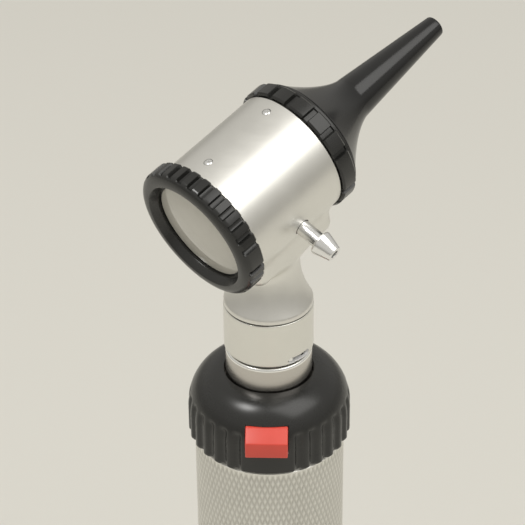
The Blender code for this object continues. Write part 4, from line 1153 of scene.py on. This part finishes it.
margin = Vector((1, 1, 1)) * 1.0 * MM
room_low, room_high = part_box("head_housing")
casting = grown("head_casting", casting_tree(), {
    "Low": room_low - margin - Vector((0, 1, 1)) * OVERRUN, "High": room_high + margin,
    "Fillet": 2.2 * MM, "Material": SATIN_BARREL,
})
print("casting field:", len(casting.data.polygons), "faces")

# %% [markdown]
# One turned cutter shapes everything along the barrel: it takes off both overruns, opens the
# bore for the lens ring's tail and for the line of sight. The spigot for the front ring is a
# turned piece joined on. Three more cutters make the lamp's bore, the screw holes and the hole
# for the nipple.

# %% Bores, ends and holes
SPIGOT_STEP = 1.25 * MM
TAIL_BORE = BARREL_RADIUS - 1.05 * MM + RUNNING
SIGHT_BORE = BARREL_RADIUS - 2.25 * MM
tail_end = on_barrel("lens_ring")[1] + GAP
past = 6 * MM
sight = [(0, BARREL_REAR - past), (TAIL_BORE, BARREL_REAR - past),
         (TAIL_BORE, tail_end), (SIGHT_BORE, tail_end),
         (SIGHT_BORE, SPIGOT_END + past), (0, SPIGOT_END + past)]
rear_end = [(0, BARREL_REAR - past), (BARREL_RADIUS + past, BARREL_REAR - past),
            (BARREL_RADIUS + past, BARREL_REAR), (0, BARREL_REAR)]
front_end = [(0, barrel_front), (BARREL_RADIUS + past, barrel_front),
             (BARREL_RADIUS + past, barrel_front + past), (0, barrel_front + past)]
foot_end = [(0, SLEEVE_TOP - past), (FOOT_RADIUS + past, SLEEVE_TOP - past),
            (FOOT_RADIUS + past, SLEEVE_TOP + GAP), (0, SLEEVE_TOP + GAP)]
spigot = turned("front_spigot", filleted([
    (SIGHT_BORE - 0.5 * MM, barrel_front - 2 * MM),
    (BARREL_RADIUS - SPIGOT_STEP, barrel_front - 2 * MM),
    (BARREL_RADIUS - SPIGOT_STEP, SPIGOT_END, 0.25 * MM),
    (SIGHT_BORE - 0.5 * MM, SPIGOT_END),
]), SATIN_BARREL, 128, BARREL_PLACE)
cut(casting, turned("rear_trim", rear_end, SATIN_BARREL, 64, BARREL_PLACE))
cut(casting, turned("front_trim", front_end, SATIN_BARREL, 64, BARREL_PLACE))
cut(casting, turned("foot_trim", foot_end, SATIN_BARREL, 64))
cut(casting, spigot, "UNION")
cut(casting, turned("sight_bore", sight, SATIN_BARREL, 128, BARREL_PLACE))
lamp_bore = HEAD_SPIGOT + GAP
flange_top = spigot_top + 2 * GAP + 0.8 * MM
bulb_bore = 2.9 * MM
lamp_top = BARREL - 0.6 * SIGHT_BORE
cut(casting, turned("lamp_bore", [
    (0, SLEEVE_TOP - 1 * MM), (lamp_bore, SLEEVE_TOP - 1 * MM), (lamp_bore, flange_top),
    (bulb_bore, flange_top), (bulb_bore, lamp_top), (0, lamp_top),
], SATIN_BARREL, 64))


def drilled(radius, start, end):
    """A drill between two points in the barrel's frame."""
    along = Vector(end) - Vector(start)
    aim = Matrix.Translation(start) @ along.to_track_quat("Z", "Y").to_matrix().to_4x4()
    section = [(0, 0), (radius, 0), (radius, along.length), (0, along.length)]
    return turned("drill", section, SATIN_BARREL, 32, BARREL_PLACE @ aim)


def middle_on_barrel(node):
    """A node's middle, in the barrel's frame."""
    low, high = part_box(node)
    return BARREL_PLACE.inverted() @ ((low + high) / 2)


screw_places = [middle_on_barrel(node).z for node in ("rear_screw", "front_screw")]
SCREW_RADIUS = 0.8 * MM
for height in screw_places:
    cut(casting, drilled(SCREW_RADIUS + 0.04 * MM, (0, -0.5 * BARREL_RADIUS, height),
                         (0, -BARREL_RADIUS - 1 * MM, height)))
port_middle = middle_on_barrel("port_nipple")
PORT_PLACE = port_middle.z
PORT_DROOP = math.atan2(port_middle.y, port_middle.x)
port_along = Vector((math.cos(PORT_DROOP), math.sin(PORT_DROOP), 0))
PORT_RADIUS = 1.5 * MM
cut(casting, drilled(PORT_RADIUS + 0.12 * MM, Vector((0, 0, PORT_PLACE)) + port_along * 0.6 * SIGHT_BORE,
                     Vector((0, 0, PORT_PLACE)) + port_along * (BARREL_RADIUS + 3 * MM)))
settled(casting, sharp=38)
given(casting, "head", "satin_aluminium", "head_housing")

# %% [markdown]
# ## The hose nipple
#
# A bright turned spout with a barb: a hose pushes over the cone and grips behind it. It is a
# section like the others, pointed along its own drooping line.

# %% The barb
PORT_BORE = 0.8 * MM
port_inner = SIGHT_BORE + GAP
port_shoulder = BARREL_RADIUS + 4.2 * MM
port_tip = port_shoulder + 3.7 * MM
port_aim = Matrix.Translation((0, 0, PORT_PLACE)) @ port_along.to_track_quat("Z", "Y").to_matrix().to_4x4()
barb = turned("hose_barb", filleted([
    (PORT_BORE, port_inner, 0.05 * MM),
    (PORT_RADIUS, port_inner, 0.05 * MM),
    (PORT_RADIUS, port_shoulder, 0.15 * MM),
    (2.25 * MM, port_shoulder, 0.1 * MM),
    (2.40 * MM, port_shoulder + 0.35 * MM, 0.2 * MM),
    (PORT_RADIUS, port_tip, 0.2 * MM),
    (PORT_BORE, port_tip, 0.12 * MM),
]), CHROME, 72, BARREL_PLACE @ port_aim)
given(barb, "head", "chrome", "port_nipple")

# %% [markdown]
# ## Two screws on the top line
#
# Each is a small domed screw with a slot. One screw is made once, and a tree puts a copy at each
# place along the barrel's top, so both stay alike.

# %% The screw tree
def screws_tree():
    tree, given_in = new_tree("screws", {"Count": "Int", "First": "Vector", "Step": "Vector"})
    screw = given_in["Geometry"]
    line = screw.node("GeometryNodeMeshLine", None, {
        "Count": given_in["Count"], "Start Location": given_in["First"], "Offset": given_in["Step"],
    })
    copies = screw.node("GeometryNodeInstanceOnPoints", None, {"Points": line, "Instance": screw})
    close_tree(copies, given_in["Material"])
    return tree


screw_reach = BARREL_RADIUS + 0.2 * MM
screw_foot = BARREL_RADIUS - 1.05 * MM + RUNNING
DOME = 0.35 * MM


def quarter(radius, height, across, rise, steps):
    """Points of a quarter ellipse, from its outer end inwards, without the last."""
    turns = [math.pi / 2 * step / steps for step in range(steps)]
    return [(radius + across * math.cos(turn), height + rise * math.sin(turn)) for turn in turns]


dome_points = quarter(0, screw_reach - DOME, SCREW_RADIUS, DOME, 8)
screw_section = [(0, screw_foot), (SCREW_RADIUS, screw_foot)] + dome_points + [(0, screw_reach)]
one_screw = turned("one_screw", screw_section, CHROME, 40)
cut(one_screw, box_mesh("screw_slot", (-2 * MM, -0.1 * MM, screw_reach - 0.22 * MM),
                        (2 * MM, 0.1 * MM, screw_reach + 1 * MM), Matrix.Rotation(0.6, 4, "Z")))
one_screw.data.transform(Matrix.Rotation(math.pi / 2, 4, "X"))
screw_mesh = one_screw.data
bpy.data.objects.remove(one_screw)
screws = grown("top_screw_pair", screws_tree(), {
    "Count": 2, "First": (0, 0, screw_places[0]), "Step": (0, 0, screw_places[1] - screw_places[0]),
    "Material": CHROME,
}, screw_mesh)
settled(screws, BARREL_PLACE)
given(screws, "head", "chrome", "rear_screw", "front_screw")

# %% [markdown]
# ## The eyepiece
#
# The lens ring is black plastic with 32 ribs on its band and a smooth rounded brow. Its tail
# turns in the barrel and its lip holds the magnifier. The ribs are the lathe's grooves with
# steeper limits than the collar's scallops.

# %% The ribbed ring
ring_rear, ring_tail, ring_radius = on_barrel("lens_ring")
ring_front = BARREL_REAR - GAP
SHOULDER = 1.5 * MM
RIM = ring_radius - 2.0 * MM
TAIL_OUT = BARREL_RADIUS - 1.05 * MM
SEAT = TAIL_OUT - 0.7 * MM
LIP = SEAT - 0.6 * MM
lip_rear = ring_front - 2.2 * MM
shoulder = ring_rear + SHOULDER
brow = [(RIM + (ring_radius - RIM) * math.cos(math.pi / 2 * step / 14),
         shoulder - SHOULDER * math.sin(math.pi / 2 * step / 14)) for step in range(15)]
band_start = ring_front - 0.3 * MM
band = [(ring_radius, band_start - (band_start - shoulder) * step / 12) for step in range(12)]
ring_outline = filleted([
    (LIP, lip_rear + 0.8 * MM, 0.08 * MM),
    (SEAT, lip_rear + 0.8 * MM, 0.05 * MM),
    (SEAT, ring_tail, 0.1 * MM),
    (TAIL_OUT, ring_tail, 0.1 * MM),
    (TAIL_OUT, ring_front, 0.1 * MM),
    (ring_radius - 0.3 * MM, ring_front, 0.1 * MM),
] + band + brow + [
    (RIM - 0.5 * MM, ring_rear, 0.25 * MM),
    (SEAT - GAP, ring_rear + 1.4 * MM, 0.3 * MM),
    (SEAT - GAP, lip_rear, 0.1 * MM),
    (LIP, lip_rear, 0.08 * MM),
], 4)
RIBS = 32
lens_ring = turned("ribbed_ring", ring_outline, BLACK, 12 * RIBS, BARREL_PLACE,
                   Grooves=float(RIBS), Depth=0.75 * MM, Open_From=0.05, Open_To=0.6,
                   Low=shoulder - 0.9 * MM, High=ring_front + 1.0 * MM, Blend=0.7 * MM,
                   Least_Radius=ring_radius - 1.1 * MM)
given(lens_ring, "eyepiece", "black_plastic", "lens_ring")

# %% The magnifier
lens_low, lens_high, lens_radius = on_barrel("magnifier")
BULGE = 0.9 * MM
lens_face = lens_radius - 1.1 * MM
lens_step = LIP - 0.12 * MM  # the part that stands back through the lip
lens_back = ring_rear + 1.9 * MM


def lens_arc(face, edge, sign):
    """Points from a lens face's rim to its axis on a shallow sphere."""
    curve = (face ** 2 + BULGE ** 2) / (2 * BULGE)
    points = []
    for step in range(17):
        radius = face * (1 - step / 16)
        rise = math.sqrt(curve ** 2 - radius ** 2) - (curve - BULGE)
        points.append((radius, edge + sign * rise))
    return points


rim_low, rim_high = lens_low + BULGE, lens_high - BULGE
lens_edge = [(lens_step, rim_low), (lens_radius, rim_low, 0.12 * MM), (lens_radius, rim_high, 0.12 * MM)]
rear_arc = lens_arc(lens_step, lens_back, -1)
lens_outline = filleted(rear_arc[::-1] + lens_edge + lens_arc(lens_face, rim_high, 1), 3)
magnifier = turned("magnifier_glass", lens_outline, LENS_GLASS, 128, BARREL_PLACE, sharp=25)
given(magnifier, "eyepiece", "optical_glass", "magnifier")
seal_low, seal_high, _ = on_barrel("lens_seal")
gasket = turned("lens_gasket", filleted([
    (LIP, seal_low, 0.08 * MM), (lens_radius, seal_low, 0.08 * MM),
    (lens_radius, seal_high, 0.08 * MM), (LIP, seal_high, 0.08 * MM),
], 3), RUBBER, 96, BARREL_PLACE)
given(gasket, "eyepiece", "rubber", "lens_seal")

# %% [markdown]
# ## The front ring and the speculum
#
# The front ring grips the speculum: 18 broad lands with narrow slots between them, and a smooth
# flange in front. The speculum is a thin funnel, and its profile is a formula: a flare that
# fades into a slender cone, closed by a rounded lip at the tip.

# %% The ring with lands
front_low, front_high, front_radius = on_barrel("front_ring")
LANDS = 18
STEP = 0.85 * MM
band_end = front_high - 0.8 * MM
front_bore = BARREL_RADIUS - SPIGOT_STEP + RUNNING
front_lip = BARREL_RADIUS - SPIGOT_STEP - 0.6 * MM
land_start, land_length = front_low + 0.35 * MM, band_end - front_low - 0.7 * MM
land_band = [(front_radius, land_start + land_length * step / 12) for step in range(13)]
front_outline = filleted([
    (front_bore, front_low, 0.1 * MM),
    (front_radius - 0.35 * MM, front_low, 0.12 * MM),
] + land_band + [
    (front_radius - 0.35 * MM, band_end, 0.12 * MM),
    (front_radius - STEP, band_end, 0.08 * MM),
    (front_radius - STEP, front_high, 0.3 * MM),
    (front_lip, front_high, 0.1 * MM),
    (front_lip, SPIGOT_END + GAP, 0.05 * MM),
    (front_bore, SPIGOT_END + GAP, 0.05 * MM),
], 4)
front_ring = turned("landed_ring", front_outline, BLACK, 20 * LANDS, BARREL_PLACE,
                    Grooves=float(LANDS), Depth=0.7 * MM, Open_From=0.62, Open_To=0.80,
                    Low=front_low - 1 * MM, High=band_end + 0.2 * MM, Blend=0.3 * MM,
                    Least_Radius=front_radius - 0.5 * MM)
given(front_ring, "grip", "black_plastic", "front_ring")

# %% The speculum and the cone under it
spec_rear, spec_tip, spec_radius = on_barrel("speculum")
SPEC_LENGTH = spec_tip - spec_rear
TIP_RADIUS = 2.05 * MM
FLARE_LENGTH = 11.5 * MM
FLARE_RADIUS = 4.25 * MM
SPEC_WALL = 0.9 * MM


def funnel(along):
    """Outer radius at a distance from the speculum's base."""
    taper = (FLARE_RADIUS - TIP_RADIUS) / (SPEC_LENGTH - FLARE_LENGTH)
    short = max(0.0, 1 - along / FLARE_LENGTH)
    spread = spec_radius - (FLARE_RADIUS + taper * FLARE_LENGTH)
    return FLARE_RADIUS + taper * (FLARE_LENGTH - along) + spread * short ** 1.55


def funnel_wall(start, end, steps, inset):
    places = [start + (end - start) * (step / steps) for step in range(steps + 1)]
    return [(funnel(place) - inset, spec_rear + place) for place in places]


LIP_LENGTH = SPEC_WALL / 2
lip_start = SPEC_LENGTH - LIP_LENGTH


def whole_wall(start, inset):
    """The funnel's wall from near its base to its lip."""
    flare = funnel_wall(start, FLARE_LENGTH, 40, inset)
    return flare + funnel_wall(FLARE_LENGTH, lip_start, 30, inset)[1:]


outside = whole_wall(0.35 * MM, 0)
inside = whole_wall(0.0, SPEC_WALL)
tip_middle = funnel(lip_start) - SPEC_WALL / 2
lip = [(tip_middle + LIP_LENGTH * math.cos(turn), spec_rear + lip_start + LIP_LENGTH * math.sin(turn))
       for turn in [math.pi * step / 10 for step in range(1, 10)]]
base_rim = [(spec_radius - SPEC_WALL, spec_rear, 0.1 * MM), (spec_radius, spec_rear, 0.15 * MM)]
spec_outline = filleted(base_rim + outside + lip + list(reversed(inside))[:-1], 4)
speculum = turned("ear_funnel", spec_outline, SPECULUM_BLACK, 160, BARREL_PLACE)
given(speculum, "speculum", "speculum_plastic", "speculum")

cone_low, cone_high, cone_radius = on_barrel("nose_cone")
CONE_WALL = 0.8 * MM
cone_reach = cone_high - spec_rear
inset = SPEC_WALL + GAP
cone_out = [point for point in funnel_wall(1.4 * MM, cone_reach, 40, inset) if point[0] < cone_radius]
cone_in = [(radius - CONE_WALL, height) for radius, height in cone_out]
flange = [(cone_radius - CONE_WALL, cone_low), (cone_radius, cone_low), (cone_radius, spec_rear - GAP)]
cone_section = flange + cone_out + cone_in[::-1] + [(cone_radius - CONE_WALL, spec_rear - GAP)]
cone = turned("inner_cone", cone_section, ANODISED, 128, BARREL_PLACE)
given(cone, "head", "black_anodised", "nose_cone")

# %% [markdown]
# ## The pieces that keep the frame's own shape
#
# Washer, track, wiper, contacts, lamp foot, seals and pins already have the right shape and are
# hidden or tiny. They stay as they are and get the finish they deserve.

# %% Finishes for the frame's own nodes
KEPT = {
    "contact_disc": BRASS, "insulator_washer": LAMINATE, "switch_carrier": BLACK,
    "rheostat_track": RESISTANCE,
    "bayonet_pin_right": CHROME, "bayonet_pin_left": CHROME, "contact_sleeve": LAMINATE,
    "collar_bearing": WHITE, "wiper": BRASS, "contact_plunger": BRASS, "lamp_base": BRASS,
    "lamp_bulb": BULB_GLASS, "light_guide": FIBRE, "lens_retainer": ANODISED,
}
for node, material in KEPT.items():
    mesh = frame["nodes"][node].data
    mesh.materials.clear()
    mesh.materials.append(material)
print(len(KEPT), "frame nodes refinished")

# %% [markdown]
# ## Measure and finish
#
# The box round everything that is drawn is printed. The looks must not outgrow the
# working model.

# %% Sizes, then the last line
low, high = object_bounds()
print("visual box", [round((b - a) / MM, 1) for a, b in zip(low, high)], "mm")
